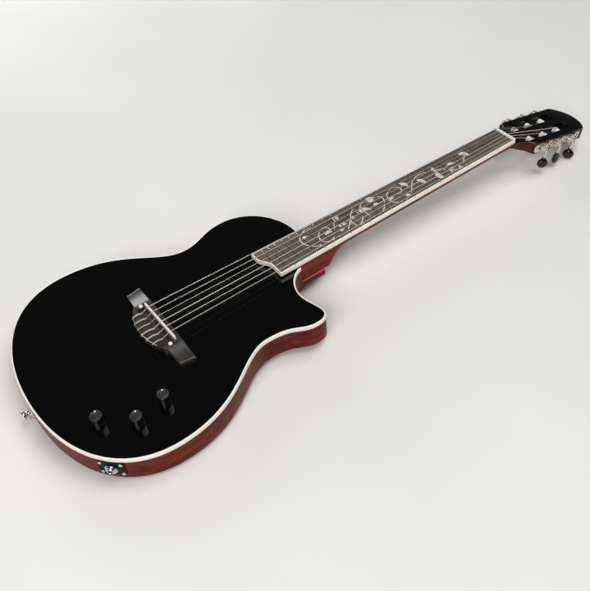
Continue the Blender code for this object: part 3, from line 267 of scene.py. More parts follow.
def inset(outline, distance):
    """An anticlockwise outline moved inwards, each corner along its mitre."""
    before = outline - np.roll(outline, 1, axis=0)
    after = np.roll(outline, -1, axis=0) - outline
    inward, onward = [np.stack((-e[:, 1], e[:, 0]), 1) / np.linalg.norm(e, axis=1, keepdims=True)
                      for e in (before, after)]
    mitre = inward + onward
    mitre /= np.sum(mitre * inward, axis=1, keepdims=True)
    return outline + distance * mitre


def at_x(x, outline):
    """An outline of (along, up) pairs stood up at one distance across."""
    return np.column_stack((np.full(len(outline), x), outline))


def mirrored(runs):
    """(Place, share) pairs and their mirror image, from the minus side to the plus side."""
    return [(-x, s) for x, s in runs] + [*runs[::-1]]


def level(outline, height):
    """Plan points set at one height."""
    return np.column_stack((outline, np.full(len(outline), height)))


def skin(rings, loop=False):
    """Points and faces through rings of equal count, capped at both ends or looped end to end."""
    rings = np.asarray(rings, dtype=float)
    count, size = rings.shape[:2]
    row = np.arange(count if loop else count - 1)[:, None]
    here = np.arange(size)[None]
    far, beside = (row + 1) % count, (here + 1) % size
    faces = np.stack((row * size + here, row * size + beside, far * size + beside, far * size + here), -1)
    faces = faces.reshape(-1, 4).tolist()
    if not loop:
        faces += [list(range(size))[::-1], list(range((count - 1) * size, count * size))]
    return rings.reshape(-1, 3), faces


def together(*shapes):
    """Several shapes as one, each still closed."""
    starts = np.cumsum([0] + [len(points) for points, _ in shapes[:-1]])
    faces = [[i + int(s) for i in face] for s, (_, some) in zip(starts, shapes) for face in some]
    return np.concatenate([points for points, _ in shapes]), faces


def prism(outline, low, high):
    """A plan outline carried straight up."""
    return skin((level(outline, low), level(outline, high)))


def tidy_mesh(mesh, sharp):
    """Merges doubles, turns faces outwards, and shades smooth below the sharp angle."""
    work = bmesh.new()
    work.from_mesh(mesh)
    bmesh.ops.remove_doubles(work, verts=work.verts, dist=1e-6)
    bmesh.ops.recalc_face_normals(work, faces=work.faces)
    work.to_mesh(mesh)
    work.free()
    mesh.shade_smooth()
    mesh.set_sharp_from_angle(angle=math.radians(sharp))


def make(name, shape, surface, stands_for=(), cuts=(), body="guitar", sharp=35):
    """A piece from a shape in millimetres, less its cuts, riding on its body."""
    objects = []
    for points, faces in (shape, *cuts):
        mesh = bpy.data.meshes.new(name)
        mesh.from_pydata((points * MM).tolist(), [], faces)
        tidy_mesh(mesh, sharp)
        made = bpy.data.objects.new(name, mesh)
        bpy.context.scene.collection.objects.link(made)
        objects.append(made)
    made = objects[0]
    if cuts:
        for tool in objects[1:]:
            step = made.modifiers.new("cut", "BOOLEAN")
            step.operation = "DIFFERENCE"
            step.object = tool
        bpy.context.view_layer.update()
        carved = bpy.data.meshes.new_from_object(made.evaluated_get(bpy.context.evaluated_depsgraph_get()))
        made.modifiers.clear()
        made.data = carved
        tidy_mesh(carved, sharp)
        for tool in objects[1:]:
            bpy.data.objects.remove(tool)
    made.data.materials.clear()
    made.data.materials.append(surface)
    made.name = name
    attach(made, body)
    if stands_for:
        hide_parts(*stands_for)
    return made


def board_half(y):
    """Half the fingerboard's width, straight from the nut to the last fret."""
    return NUT_HALF + (LAST_FRET_HALF - NUT_HALF) * (SCALE_LENGTH - y) / (SCALE_LENGTH - LAST_FRET_Y)


treble_side = curve(((0, -TAIL_REACH, 0, 0, 96.5), (LOWER_HALF, LOWER_Y, 90, 87, 93),
                     (WAIST_HALF, WAIST_Y, 90, 43.5, 45), (HORN_HALF, HORN_Y, 90, 28, 9),
                     (HORN_HALF - 20.4, HORN_Y + 18.9, 190, 18, 10),
                     (HORN_HALF - 58.2, HORN_Y + 11.2, 176, 14, 18.5), (CUTAWAY_X, CUTAWAY_Y, 107, 18, 0)))
bass_side = curve(((0, -TAIL_REACH, 180, 0, 96.5), (-LOWER_HALF, LOWER_Y, 90, 87, 93),
                   (-WAIST_HALF, WAIST_Y, 90, 43.5, 27.5), (-UPPER_HALF, UPPER_Y, 90, 36.5, 44),
                   (SHOULDER_X, JOINT_Y, 0, 46, 0)))
body_plan = np.concatenate((treble_side, [(CUTAWAY_X, JOINT_Y)], bass_side[:0:-1]))

# The pocket has the neck's own taper, and is open at the cutaway and at the front of the body.
POCKET_GAP, POCKET_TOP = 0.1, 60.0
POCKET_FRONT, POCKET_SIDE = JOINT_Y + 12, CUTAWAY_X + 8
neck_pocket = prism(np.array((
    (-board_half(TENON_END) - POCKET_GAP, TENON_END), (board_half(TENON_END) + POCKET_GAP, TENON_END),
    (board_half(CUTAWAY_Y) + POCKET_GAP, CUTAWAY_Y), (POCKET_SIDE, CUTAWAY_Y),
    (POCKET_SIDE, POCKET_FRONT), (-board_half(POCKET_FRONT) - POCKET_GAP, POCKET_FRONT))),
    LEDGE_THICKNESS, POCKET_TOP)


def round_line(places, radius, steps=14):
    """Anticlockwise outline at one distance round a bent line: an arc at each end and outer bend."""
    first, middle, last = places
    there, on = [np.arctan2(*(b - a)[::-1]) for a, b in ((first, middle), (middle, last))]
    square = [np.array((math.sin(h), -math.cos(h))) for h in (there, on)]
    inner = middle - (square[0] + square[1]) * radius / (1 + square[0] @ square[1])

    def fan(centre, start, end):
        return centre + radius * unit(np.linspace(start, end, steps))

    return np.concatenate((fan(middle, there - RIGHT_ANGLE, on - RIGHT_ANGLE),
                           fan(last, on - RIGHT_ANGLE, on + RIGHT_ANGLE), inner[None],
                           fan(first, there + RIGHT_ANGLE, there + 3 * RIGHT_ANGLE)))


def rectangle(centre, half, corner=0.0, steps=6):
    """Anticlockwise rectangle with round corners."""
    a = (quarter(steps)[None] + np.arange(4)[:, None] * RIGHT_ANGLE).ravel()
    signs = np.repeat(((1, 1), (-1, 1), (-1, -1), (1, -1)), steps, axis=0)
    return np.array(centre) + signs * (np.array(half) - corner) + corner * unit(a)


PORE_EDGE, PORE_MIDDLE, PORE_FILL = 0.56, 0.66, 0.55
LEDGE_HIGHLIGHT_FACING, LEDGE_HIGHLIGHT_LIMIT = 0.6, 20.0


# Lacquered mahogany: red-brown heartwood with ribbon stripes 8 mm apart, fine dark pores
# 6 mm long, and a thin clear lacquer with a low sheen. Upward faces low down, as on the ledge, get a painted
# highlight in pale pink.
def mahogany_stained(name, low, middle, high):
    """One cut of mahogany under a stain of three depths, from between the ribbons to their crests."""
    made, tree, shader = finish(name, Roughness=0.45, IOR=1.35, Specular_IOR_Level=0.15, Coat_Weight=0.25,
                                Coat_IOR=1.2, Coat_Roughness=0.15)
    ribbons = grain(tree, 120.0, 3.0, (1, 0.05, 1), Roughness=0.6)
    pores = grain(tree, 900.0, 2.0, (1, 0.09, 1))
    wood = ramp(tree, ribbons, ((0.3, low), (0.5, middle), (0.72, high)))
    filled = blend(tree, remap(tree, pores, PORE_EDGE, PORE_MIDDLE, 0, PORE_FILL), wood, "#200604")
    # Painted highlight: faces turned up and lower than the limit height are blended to a pale pink.
    ledge_highlight = calc(tree, "MULTIPLY", calc(tree, "GREATER_THAN", split(tree, "Normal")["Z"], LEDGE_HIGHLIGHT_FACING),
                 calc(tree, "LESS_THAN", split(tree, "Object")["Z"], LEDGE_HIGHLIGHT_LIMIT * MM))
    tree.links.new(blend(tree, ledge_highlight, filled, "#b5685a"), shader.inputs["Base Color"])
    emboss(tree, shader, pores, 0.15, 0.0004)
    return made


def stain_of(wood):
    """A wood's tree, the colour socket of its shader, and what feeds that now."""
    tree = wood.node_tree
    colour = tree.nodes["Principled BSDF"].inputs["Base Color"]
    return tree, colour, colour.links[0].from_socket


mahogany = mahogany_stained("red_stained_mahogany", "#3a0c07", "#63180f", "#86291a")

rim = BINDING_WIDTH + GLUE_LINE
under_binding = BODY_TOP - BINDING_HEIGHT - GLUE_LINE
levels = [(BACK_ROUND * (1 - math.sin(a)), BACK_ROUND * (1 - math.cos(a))) for a in quarter(9)]
levels += [(0, 12), (0, 24), (0, under_binding), (rim, under_binding),
           (rim, BODY_TOP - TOP_THICKNESS - GLUE_LINE)]
cover_rout = prism(round_line(KNOB_PLACES, COVER_RADIUS + ROUT_GAP), ROUT_LOW, COVER_THICKNESS + ROUT_GAP)
box_plan = rectangle((BATTERY_X, BATTERY_Y), (BOX_HALF_X + ROUT_GAP, BOX_HALF_Y + ROUT_GAP))
make("body_sides_and_back", skin([level(inset(body_plan, d), z) for d, z in levels]), mahogany,
     ("body_shell",), (neck_pocket, cover_rout, prism(box_plan, ROUT_LOW, BOX_ROUT)))

# The top: a 4 mm plate sprayed black and polished. It is flush with the binding round it, and its
# lacquer is level enough to mirror the strings, the bridge and the knobs.

# Black nitro lacquer: nearly pure black, a clean mirror with very faint polishing swirls
# and a slight orange peel 3 mm across.
black_lacquer = tinted("polished_black_lacquer", 9.0, 5.0, ("#010101", "#030303"),
                       gloss=(0.05, 0.1), relief=(0.02, 0.0003, 320.0, 2.0), IOR=1.6)
make("black_top", prism(inset(body_plan, BINDING_WIDTH), BODY_TOP - TOP_THICKNESS, BODY_TOP), black_lacquer,
     ("top_plate",), (neck_pocket,))

# The binding: a cream celluloid strip let into the edge of the top all the way round, scraped
# flush, with its outer corner eased and a thin dark glue line where it meets the mahogany.

# Cream celluloid: pale and warm, yellowed unevenly, polished with the lacquer over it.
cream = tinted("aged_cream_celluloid", 90.0, 4.0, ("#f3e7d7", "#fff8ed"), (1, 0.25, 1),
               Roughness=0.3, Coat_Weight=0.6, Coat_Roughness=0.08)
EDGE_ROUND = 1.1
eased = np.array((0, BODY_TOP)) + EDGE_ROUND * (1 - unit(quarter(5))) * (1, -1)
low_edge = BODY_TOP - BINDING_HEIGHT
section = ((BINDING_WIDTH, low_edge), (0, low_edge), *eased, (BINDING_WIDTH, BODY_TOP))
binding_loops = np.stack([level(inset(body_plan, d), z) for d, z in section], axis=1)
make("body_binding_strip", skin(binding_loops, loop=True), cream,
     ("body_binding",), (neck_pocket,))


# The neck: one piece of mahogany, round behind the board and full depth at the heel, which
# sweeps down to the body's ledge. A low tongue carries the board out over the top.

BOARD_TOP, BOARD_BOTTOM = 52.0, 45.0
NECK_TOP = BOARD_BOTTOM - GLUE_LINE
HEEL_BOTTOM = LEDGE_THICKNESS + 0.1
HEEL_END = JOINT_Y + 10.0
HEEL_SWEEP, HEEL_CURVE = 36.0, 1.7
DEPTH_NUT, DEPTH_HEEL = 15.0, 17.4
NUT_LENGTH = 5.0
HEAD_TILT = math.radians(11.0)
HEAD_LENGTH, HEAD_HALF, HEAD_THICKNESS = 183.0, 39.5, 21.0
HEADPLATE = 2.0
SHOULDER_START, SHOULDER_END, CROWN_RISE = 30.0, 43.0, 18.0
HEAD_FLARE = 3.9
NECK_SQUARE, NECK_ROUND, HEAD_ROUND = 40.0, 2.3, 2.4
TONGUE_INSET, TONGUE_BACK = 0.8, 200.0
BOARD_END_BASS, BOARD_END_TREBLE = 15.4, 4.4
OGEE_START, OGEE_SPAN = 0.22, 0.40


def back_section(y, z, tilt, half, depth, power, steps=28):
    """Flat-topped section: a superellipse below the flat, squarer as its power grows."""
    a = np.linspace(0, math.pi, steps + 1)
    across = half * np.sign(np.cos(a)) * np.abs(np.cos(a)) ** (2 / power)
    down = depth * np.abs(np.sin(a)) ** (2 / power)
    down[[0, -1]] = 0.0
    return np.column_stack((across, y - down * math.sin(tilt), z - down * math.cos(tilt)))


def in_head(points):
    """Head measures (across, along from the nut, up from the face) turned to where the head is."""
    points = np.atleast_2d(np.asarray(points, dtype=float))
    c, s = math.cos(HEAD_TILT), math.sin(HEAD_TILT)
    return np.column_stack((points[:, 0], SCALE_LENGTH + points[:, 1] * c + points[:, 2] * s,
                            BOARD_BOTTOM - points[:, 1] * s + points[:, 2] * c))


def head_point(*measures):
    """One point of the head from its measures."""
    return in_head(measures)[0]


def head_half(u):
    """Half the head's width along it: a flare, an S-shaped shoulder, level sides, a round crown."""
    u = np.asarray(u, dtype=float)
    neck_end = NUT_HALF + HEAD_FLARE
    flare = NUT_HALF + HEAD_FLARE * (np.clip(u, 0, SHOULDER_START) / SHOULDER_START) ** 2
    t = np.clip((u - SHOULDER_START) / (SHOULDER_END - SHOULDER_START), 0, 1)
    shoulder = neck_end + (HEAD_HALF - neck_end) * (1 - np.cos(math.pi * t)) / 2
    radius = (HEAD_HALF ** 2 + CROWN_RISE ** 2) / (2 * CROWN_RISE)
    crown = np.sqrt(np.maximum(radius ** 2 - (u - HEAD_LENGTH + radius) ** 2, 0.04))
    return np.where(u <= SHOULDER_START, flare, np.where(u <= HEAD_LENGTH - CROWN_RISE, shoulder, crown))


def board_end(margin):
    """The board's ogee end from bass to treble: a smooth step, moved in from the edge by a margin."""
    half = board_half(LAST_FRET_Y - BOARD_END_BASS) - margin
    x = np.linspace(-half, half, 41)
    t = np.clip(((x / half + 1) / 2 - OGEE_START) / OGEE_SPAN, 0, 1)
    rise = t * t * (3 - 2 * t)
    y = LAST_FRET_Y - BOARD_END_BASS + (BOARD_END_BASS - BOARD_END_TREBLE) * rise + margin
    return np.column_stack((x, y))


heel_depth = NECK_TOP - HEEL_BOTTOM
rings = [back_section(y, NECK_TOP, 0, board_half(y), heel_depth, NECK_SQUARE)
         for y in (TENON_END + 0.2, JOINT_Y - 20, HEEL_END)]
share = np.linspace(0, 1, 16)[1:]
power_at = np.interp(share, (0, 0.12, 0.26, 0.44, 0.68, 1), (NECK_SQUARE, 12, 6, 3.6, 2.7, NECK_ROUND))
for s, power in zip(share, power_at):
    y = HEEL_END + s * HEEL_SWEEP
    depth = DEPTH_HEEL + (heel_depth - DEPTH_HEEL) * (1 - s) ** HEEL_CURVE
    rings.append(back_section(y, NECK_TOP, 0, board_half(y), depth, power))
for s in np.linspace(0, 1, 14)[1:]:
    y = HEEL_END + HEEL_SWEEP + s * (SCALE_LENGTH + NUT_LENGTH - HEEL_END - HEEL_SWEEP)
    depth = DEPTH_HEEL + (DEPTH_NUT - DEPTH_HEEL) * s
    rings.append(back_section(y, NECK_TOP, 0, board_half(min(y, SCALE_LENGTH)), depth, NECK_ROUND))
wood_face = HEADPLATE + GLUE_LINE
full_depth = HEAD_THICKNESS - wood_face


def head_ring(u):
    """The head's wood at one distance from the nut: it grows from the neck's round to a square slab."""
    grown = min(u / SHOULDER_END, 1.0)
    depth = DEPTH_NUT - wood_face + (full_depth - DEPTH_NUT + wood_face) * grown ** 1.3
    _, y, z = head_point(0, u, -wood_face)
    power = HEAD_ROUND + (NECK_SQUARE - HEAD_ROUND) * grown ** 3
    return back_section(y, z, HEAD_TILT, float(head_half(u)), depth, power)


rings.append(head_ring(6.0))
tongue_half = board_half(TONGUE_BACK) - TONGUE_INSET
tongue_plan = (*board_end(TONGUE_INSET), (tongue_half, TONGUE_BACK), (-tongue_half, TONGUE_BACK))
neck_shape = together(skin(rings), prism(np.array(tongue_plan), BODY_TOP + GLUE_LINE, NECK_TOP))
# The neck is cut from the same wood under a thinner, more orange stain.
# Where its sides stand over the top, up to where the body ends, they are painted black as shade.
neck_mahogany = mahogany_stained("orange_stained_mahogany", "#4c120c", "#742416", "#8f3625")
tree, colour, stained = stain_of(neck_mahogany)
place = split(tree, "Object")
# Painted shade: the neck's wood above the top, short of the body's end, is blended to black.
body_end = remap(tree, place["X"], -MM, MM, JOINT_Y * MM, (CUTAWAY_Y + 1.5) * MM)
shade_over_top = calc(tree, "MULTIPLY", calc(tree, "GREATER_THAN", place["Z"], (BODY_TOP + 0.02) * MM),
                calc(tree, "LESS_THAN", place["Y"], body_end))
tree.links.new(blend(tree, shade_over_top, stained, "#030303"), colour)
make("neck_and_heel", neck_shape, neck_mahogany, ("neck",))

# The head: a slotted slab scarfed on at eleven degrees, with bored cheeks for the rollers. Its
# edges are stained crimson, its slots' walls are coloured nearly black, and its face is a black lacquered
# veneer.

SLOT_START, SLOT_END, SLOT_WIDTH, SLOT_CENTRE = 28.0, 146.0, 18.0, 16.9
ROLLER_FIRST, ROLLER_SPACING, ROLLER_DEPTH = 57.0, 35.0, 10.0
ROLLER_PLACES = [ROLLER_FIRST + k * ROLLER_SPACING for k in range(3)]
BORE_RADIUS, BORE_START, BORE_END = 3.3, 7.0, 45.0


def slot_plan(centre):
    """One string slot in the head: straight sides and round ends."""
    reach = SLOT_WIDTH / 2
    half_turn = reach * unit(np.linspace(0, math.pi, 15))
    return np.concatenate(((centre, SLOT_END - reach) + half_turn, (centre, SLOT_START + reach) - half_turn))


def rod(start, end, radius, steps=20):
    """A straight round bar between two points."""
    start, end = np.array(start, dtype=float), np.array(end, dtype=float)
    along = (end - start) / np.linalg.norm(end - start)
    side = np.cross(along, (0, 0, 1) if abs(along[2]) < 0.9 else (1, 0, 0))
    side /= np.linalg.norm(side)
    other = np.cross(along, side)
    a = circle(steps)[:, None]
    ring = radius * (np.cos(a) * side + np.sin(a) * other)
    return skin((start + ring, end + ring))


stations = np.concatenate((
    np.linspace(6, SHOULDER_START, 8), np.linspace(SHOULDER_START, SHOULDER_END, 16)[1:],
    np.linspace(SHOULDER_END, HEAD_LENGTH - CROWN_RISE, 5)[1:],
    HEAD_LENGTH - CROWN_RISE * np.cos(quarter(16)[1:]) ** 2))
bores = [rod(*[head_point(side * x, u, -ROLLER_DEPTH) for x in (BORE_START, BORE_END)], BORE_RADIUS)
         for side in (-1, 1) for u in ROLLER_PLACES]
slots = [skin([in_head(level(slot_plan(side * SLOT_CENTRE), z)) for z in (-HEAD_THICKNESS - 6, 6)])
         for side in (-1, 1)]
# Crimson-stained mahogany, coloured nearly black on the slots' walls: those of its faces that stand
# square to the head between the two cheeks. Below the slots it keeps the neck's darker stain.
SCARF_LINE, WALL_DARK_TAPER, WALL_DARK_INSET = 24.0, 7.0, 2.3
crimson = mahogany_stained("crimson_stained_mahogany", "#35101a", "#521c26", "#6c2b35")
tree, colour, stained = stain_of(crimson)
place = split(tree, "Object")
scarf = (SCALE_LENGTH + SCARF_LINE) * MM
cheek = (SLOT_CENTRE + SLOT_WIDTH / 2 + 0.2) * MM
past_scarf = calc(tree, "GREATER_THAN", place["Y"], scarf)
limit = remap(tree, place["Y"], scarf, scarf + WALL_DARK_TAPER * MM, cheek - WALL_DARK_INSET * MM, cheek)
between = calc(tree, "LESS_THAN", calc(tree, "ABSOLUTE", place["X"]), limit)
upright = calc(tree, "LESS_THAN", calc(tree, "ABSOLUTE", split(tree, "Normal")["Z"]), 0.5)
wall = calc(tree, "MULTIPLY", calc(tree, "MULTIPLY", between, upright), past_scarf)
neck_stain = add(tree, "HueSaturation", {"Color": stained, "Hue": 0.527, "Saturation": 1.0, "Value": 0.8})
under_dark_walls = blend(tree, past_scarf, neck_stain.outputs[0], stained)
tree.links.new(blend(tree, wall, under_dark_walls, "#140505"), colour)
make("head_wood", skin([head_ring(u) for u in stations]), crimson, ("headstock",),
     (*slots, *bores))

face_at = np.concatenate(((6.7,), stations[1:]))
face_edge = np.column_stack((head_half(face_at), face_at))
face_plan = np.concatenate((face_edge, face_edge[::-1] * (-1, 1)))
face_rings = [in_head(level(inset(face_plan, d), z)) for d, z in
              ((0, -HEADPLATE), (0, -0.8), (0.12, -0.35), (0.4, -0.1), (0.8, 0))]
make("head_face", skin(face_rings), black_lacquer, ("headplate",), slots)


# The fingerboard: a 7 mm rosewood board, slotted and oiled, ending in an ogee over the top.
# Twenty-two crowned nickel-silver wires cross it, and a cream strip binds its sides and end.

# Oiled rosewood: dark brown with near-black growth lines along the neck and open pores.
rosewood = tinted("oiled_rosewood", 260.0, 4.0,
                  ((0.28, "#382e27"), (0.45, "#574a40"), (0.6, "#6a5c50"), (0.75, "#463a31")), (1, 0.04, 1),
                  0.6, relief=(0.3, 0.0004, 800.0, 2.0, (1, 0.1, 1)), Roughness=0.42, IOR=1.5)
BOARD_BINDING, BOARD_EASE = 1.8, 0.5
BOARD_START = SCALE_LENGTH - 0.1


def board_plan(margin):
    """The board's outline, anticlockwise from the nut's bass corner, moved in by a margin."""
    half = board_half(BOARD_START) - margin
    return np.concatenate((((-half, BOARD_START),), board_end(margin), ((half, BOARD_START),)))


make("rosewood_board", prism(board_plan(BOARD_BINDING), BOARD_BOTTOM, BOARD_TOP - 0.02), rosewood,
     ("fingerboard",))
outer, inner = board_plan(0.0), board_plan(BOARD_BINDING)
binding_section = ((outer, BOARD_BOTTOM), (outer, BOARD_TOP - BOARD_EASE),
                   (inset(outer, 0.3 * BOARD_EASE), BOARD_TOP - 0.3 * BOARD_EASE),
                   (inset(outer, BOARD_EASE), BOARD_TOP), (inner, BOARD_TOP), (inner, BOARD_BOTTOM))
loops = np.stack([level(plan, z) for plan, z in binding_section], axis=1)
make("board_binding_strip", skin(loops), cream, ("fingerboard_binding",))

# Nickel-silver fret wire: a warm white metal with bright crowns, dulled between the strings.
fret_metal = tinted("nickel_silver", 160.0, 3.0, ("#bab3a8", "#dad4c9"), gloss=(0.14, 0.3),
                    Metallic=1.0)
FRET_WIDTH, FRET_HEIGHT, FRET_INSET, FRET_SINK = 2.2, 1.0, 0.25, 0.03
a = np.linspace(0, math.pi, 9)
crown = np.column_stack((FRET_WIDTH / 2 * np.cos(a), FRET_HEIGHT * np.sin(a) ** 0.8))
frets = []
for k in range(1, FRET_COUNT + 1):
    y = SCALE_LENGTH * 2 ** (-k / 12)
    half = board_half(y) - FRET_INSET
    runs = mirrored(((half, 0.25), (half - 0.35, 0.75), (half - 0.9, 1.0)))
    frets.append(skin([at_x(x, (y, BOARD_TOP - FRET_SINK) + crown * (1, s)) for x, s in runs]))
make("fret_wires", together(*frets), fret_metal, sharp=50)

# The inlay: a climbing vine of pearly shell, stems, leaves and three tendrils, let in flush.

# Mother-of-pearl: pale grey-white with faint pink and green clouds a few millimetres across.
shell_inlay = tinted("mother_of_pearl", 130.0, 3.0,
                     ((0.3, "#c8b6ae"), (0.45, "#ecdfd7"), (0.6, "#d3cec4"), (0.75, "#f5ebe3")),
                     distortion=1.5, Roughness=0.25, Coat_Weight=0.5, Coat_Roughness=0.1)
INLAY_LOW, INLAY_HIGH = BOARD_TOP - 0.1, BOARD_TOP + 0.04
STEM_HALVES = (0.4, 0.85, 0.75, 0.35)
LEAF_BEND, LEAF_SKEW, LEAF_TIP = 0.15, 0.8, 0.08


def smooth_path(points, per=12):
    """Catmull-Rom curve through points of any dimension."""
    p = np.asarray(points, dtype=float)
    p = np.concatenate((2 * p[:1] - p[1:2], p, 2 * p[-1:] - p[-2:-1]))
    t = np.linspace(0, 1, per, endpoint=False)[:, None]
    parts = []
    for a, b, c, d in zip(p[:-3], p[1:-2], p[2:-1], p[3:]):
        bend, twist = 2 * a - 5 * b + 4 * c - d, 3 * b - a - 3 * c + d
        parts.append(0.5 * (2 * b + (c - a) * t + bend * t ** 2 + twist * t ** 3))
    return np.concatenate(parts + [p[-2:-1]])


def let_in(left, right_side):
    """A flat strip of shell between two plan lines, standing a hair over the board."""
    corners = ((left, INLAY_HIGH), (right_side, INLAY_HIGH), (right_side, INLAY_LOW), (left, INLAY_LOW))
    return skin(np.stack([level(line, z) for line, z in corners], axis=1))


def ribbon(path):
    """A stem along a plan path, tapered from end to end."""
    path = smooth_path(path)
    along = np.gradient(path, axis=0)
    side = np.column_stack((-along[:, 1], along[:, 0])) / np.linalg.norm(along, axis=1, keepdims=True)
    t = np.linspace(0, 1, len(path))
    half = np.interp(t, np.linspace(0, 1, len(STEM_HALVES)), STEM_HALVES)[:, None]
    return let_in(path + side * half, path - side * half)


def leaf(place, heading, length, width):
    """A pointed leaf: its half width follows a sine skewed to the stalk, round a bent spine."""
    t = np.linspace(0, 1, 13)
    a = math.radians(heading)
    ahead, side = unit(a), np.array((-math.sin(a), math.cos(a)))
    spine = (np.array(place) + length * (t[:, None] - 0.5) * ahead
             + LEAF_BEND * length * (4 * t * (1 - t))[:, None] * side)
    half = (width / 2 * np.sin(math.pi * t ** LEAF_SKEW) + LEAF_TIP)[:, None]
    return let_in(spine + half * side, spine - half * side)


STEMS = (((22, 256), (10, 243), (-3, 238), (-14, 243), (-21, 256), (-20, 268)),
         ((24, 277), (14, 286), (3, 294), (-6, 300), (-13, 311)),
         ((17, 264), (9, 263), (1, 266), (-6, 273)),
         ((22, 303), (13, 314), (2, 325), (-9, 335), (-16, 347)),
         ((23, 334), (20, 326), (12, 322), (5, 324), (3, 330)),
         ((17, 352), (5, 352), (-8, 352), (-15, 360), (-12, 371)),
         ((20, 373), (13, 382), (4, 390)),
         ((21, 412), (17, 402), (8, 398), (-2, 400), (-11, 409), (-14, 420)),
         ((22, 418), (15, 434), (5, 444), (-4, 453), (-10, 464), (-11, 478), (-6, 492)),
         ((-6, 497), (2, 511), (11, 520), (18, 530), (19, 541)),
         ((15, 545), (8, 552), (1, 559), (-4, 566)),
         ((17, 264), (20.5, 271), (19, 280), (12, 288), (2, 295)),
         ((-6, 273), (-8, 281), (-3, 287), (4, 286)),
         ((-14, 420), (-9, 428), (-1, 428), (4, 421), (1, 414)),
         ((4, 390), (-6, 393), (-13, 387), (-14, 379)),
         ((20, 318), (20, 330), (13, 340), (5, 345)))
LEAF_LENGTHEN, LEAF_WIDEN = 1.08, 1.25
LEAVES = ((-8, 248, 75, 8, 4.5), (19, 258, 20, 7, 3), (6, 281, 95, 13, 4.6), (14, 301, 80, 8, 3.4),
          (6, 308, 100, 13, 5), (-12, 309, 70, 10, 8), (2, 331, 30, 7, 3.6), (2, 353, 110, 25, 6.5),
          (1, 376, 85, 8, 5), (-13, 377, 60, 13, 10), (6, 402, 85, 12, 4.6), (-7, 438, 150, 16, 6),
          (16, 427, 130, 8, 4), (4, 464, 150, 17, 6), (9.5, 499, 8, 20, 7), (-6, 501, 10, 12, 5),
          (13, 523, 60, 14, 5), (2, 530, 110, 14, 5), (15.5, 538, 5, 8.5, 4), (-3, 563, 145, 19, 7))
leaves = [leaf((x, y), 180 - a, LEAF_LENGTHEN * l, LEAF_WIDEN * w) for x, y, a, l, w in LEAVES]
make("vine_inlay", together(*[ribbon(path) for path in STEMS], *leaves), shell_inlay)

# Nut and saddle: bone-white blanks, filed and polished; the nut is notched for each string, and
# the saddle stands on a film pickup in the bridge.

# Bone: warm white with faint grey-yellow marrow streaks, polished.
bone = tinted("polished_bone", 300.0, 3.0, ("#efe8dc", "#fcf8f1"), (0.2, 1, 1),
              Roughness=0.3, Subsurface_Weight=0.1, Subsurface_Scale=0.002)
dress(bone, "nut")
SADDLE_HALF, SADDLE_THICKNESS, SADDLE_CROWN = 39.8, 2.8, 1.2
SADDLE_SLANT = math.radians(2.0)
STRING_HEIGHT = BOARD_TOP + 4.2
saddle_low, saddle_top = BODY_TOP + 4.0, STRING_HEIGHT - 0.05
a = np.linspace(0, math.pi, 9)
crown = np.array((0, saddle_top - SADDLE_CROWN)) + unit(a) * (SADDLE_THICKNESS / 2, SADDLE_CROWN)
side_view = np.array(((SADDLE_THICKNESS / 2, saddle_low), *crown, (-SADDLE_THICKNESS / 2, saddle_low)))
runs = mirrored(((SADDLE_HALF, 0.9), (SADDLE_HALF - 0.3, 0.97), (SADDLE_HALF - 1.2, 1.0)))
middle = np.array((0, (saddle_low + saddle_top) / 2))


def slanted(points):
    """Points turned about the upright through the origin by the saddle's slant, treble end forward."""
    c, s = math.cos(SADDLE_SLANT), math.sin(SADDLE_SLANT)
    points = np.asarray(points, dtype=float)
    return np.stack((points[..., 0] * c - points[..., 1] * s, points[..., 0] * s + points[..., 1] * c,
                     points[..., 2]), axis=-1)


saddle_rings = [at_x(x, middle + (side_view - middle) * s) for x, s in runs]
make("bone_saddle", skin(slanted(saddle_rings)), bone, ("saddle",))


# The bridge: one piece of dark rosewood glued to the top, with thin wings dished up to a shelf for
# the saddle, and behind it a low arched block, drilled for the strings that are tied over it.

# Dark rosewood, satin: grey-brown nearly black, with grain across the body along the wings.
dark_rosewood = tinted("satin_dark_rosewood", 330.0, 4.0,
                       ((0.3, "#1a1614"), (0.5, "#2b2623"), (0.7, "#383230")), (0.06, 1, 1), 0.5,
                       relief=(0.2, 0.0004), Roughness=0.34, IOR=1.5, Coat_Weight=0.5, Coat_Roughness=0.25)
BRIDGE_HALF, BRIDGE_FRONT, BRIDGE_BACK = 78.0, 9.4, 31.5
WING_BACK, WING_FLARE, FLARE_REACH, BULGE_HALF, BULGE_CURVE = 13.5, 2.5, 30.0, 46.0, 0.75
SHELF, SHELF_HALF, WING, WING_START, END_HEIGHT, END_BEVEL = 8.4, 45.0, 4.7, 73.0, 2.2, 3.0
END_SHEAR, WING_DISH = 0.16, 0.7
VALLEY, BLOCK_HALF, BLOCK_FRONT, BLOCK_LIFT, BLOCK_ARCH = 5.0, 37.5, 13.6, 0.3, 1.2
FRONT_EASE_REACH, FRONT_EASE_DROP, BACK_EASE = 2.2, 1.6, 1.2
BRIDGE_LOW = BODY_TOP + GLUE_LINE
HOLE_HEIGHT, HOLE_RADIUS = BODY_TOP + 7.3, 0.9
STRING_SPREAD_SADDLE, STRING_SPREAD_NUT = 57.5, 36.0


def bridge_back(x):
    """Distance of the back edge behind the saddle: wings that flare a little and a round middle."""
    wing = WING_BACK + WING_FLARE * np.minimum((BRIDGE_HALF - np.abs(x)) / FLARE_REACH, 1)
    bulge = np.maximum(1 - (x / BULGE_HALF) ** 2, 0) ** BULGE_CURVE
    return wing + (BRIDGE_BACK - WING_BACK - WING_FLARE) * bulge


def block_top(share):
    """The block's height over the top from its front edge (0) to its back edge (1): one low arch."""
    return SHELF + BLOCK_LIFT + BLOCK_ARCH * np.sin(math.pi * share)


def block_line(share, back):
    """The block's places from its front edge (0) to its back edge (1), which lies at back."""
    return -BLOCK_FRONT - 0.5 + share * (BLOCK_FRONT + 1.6 - back)


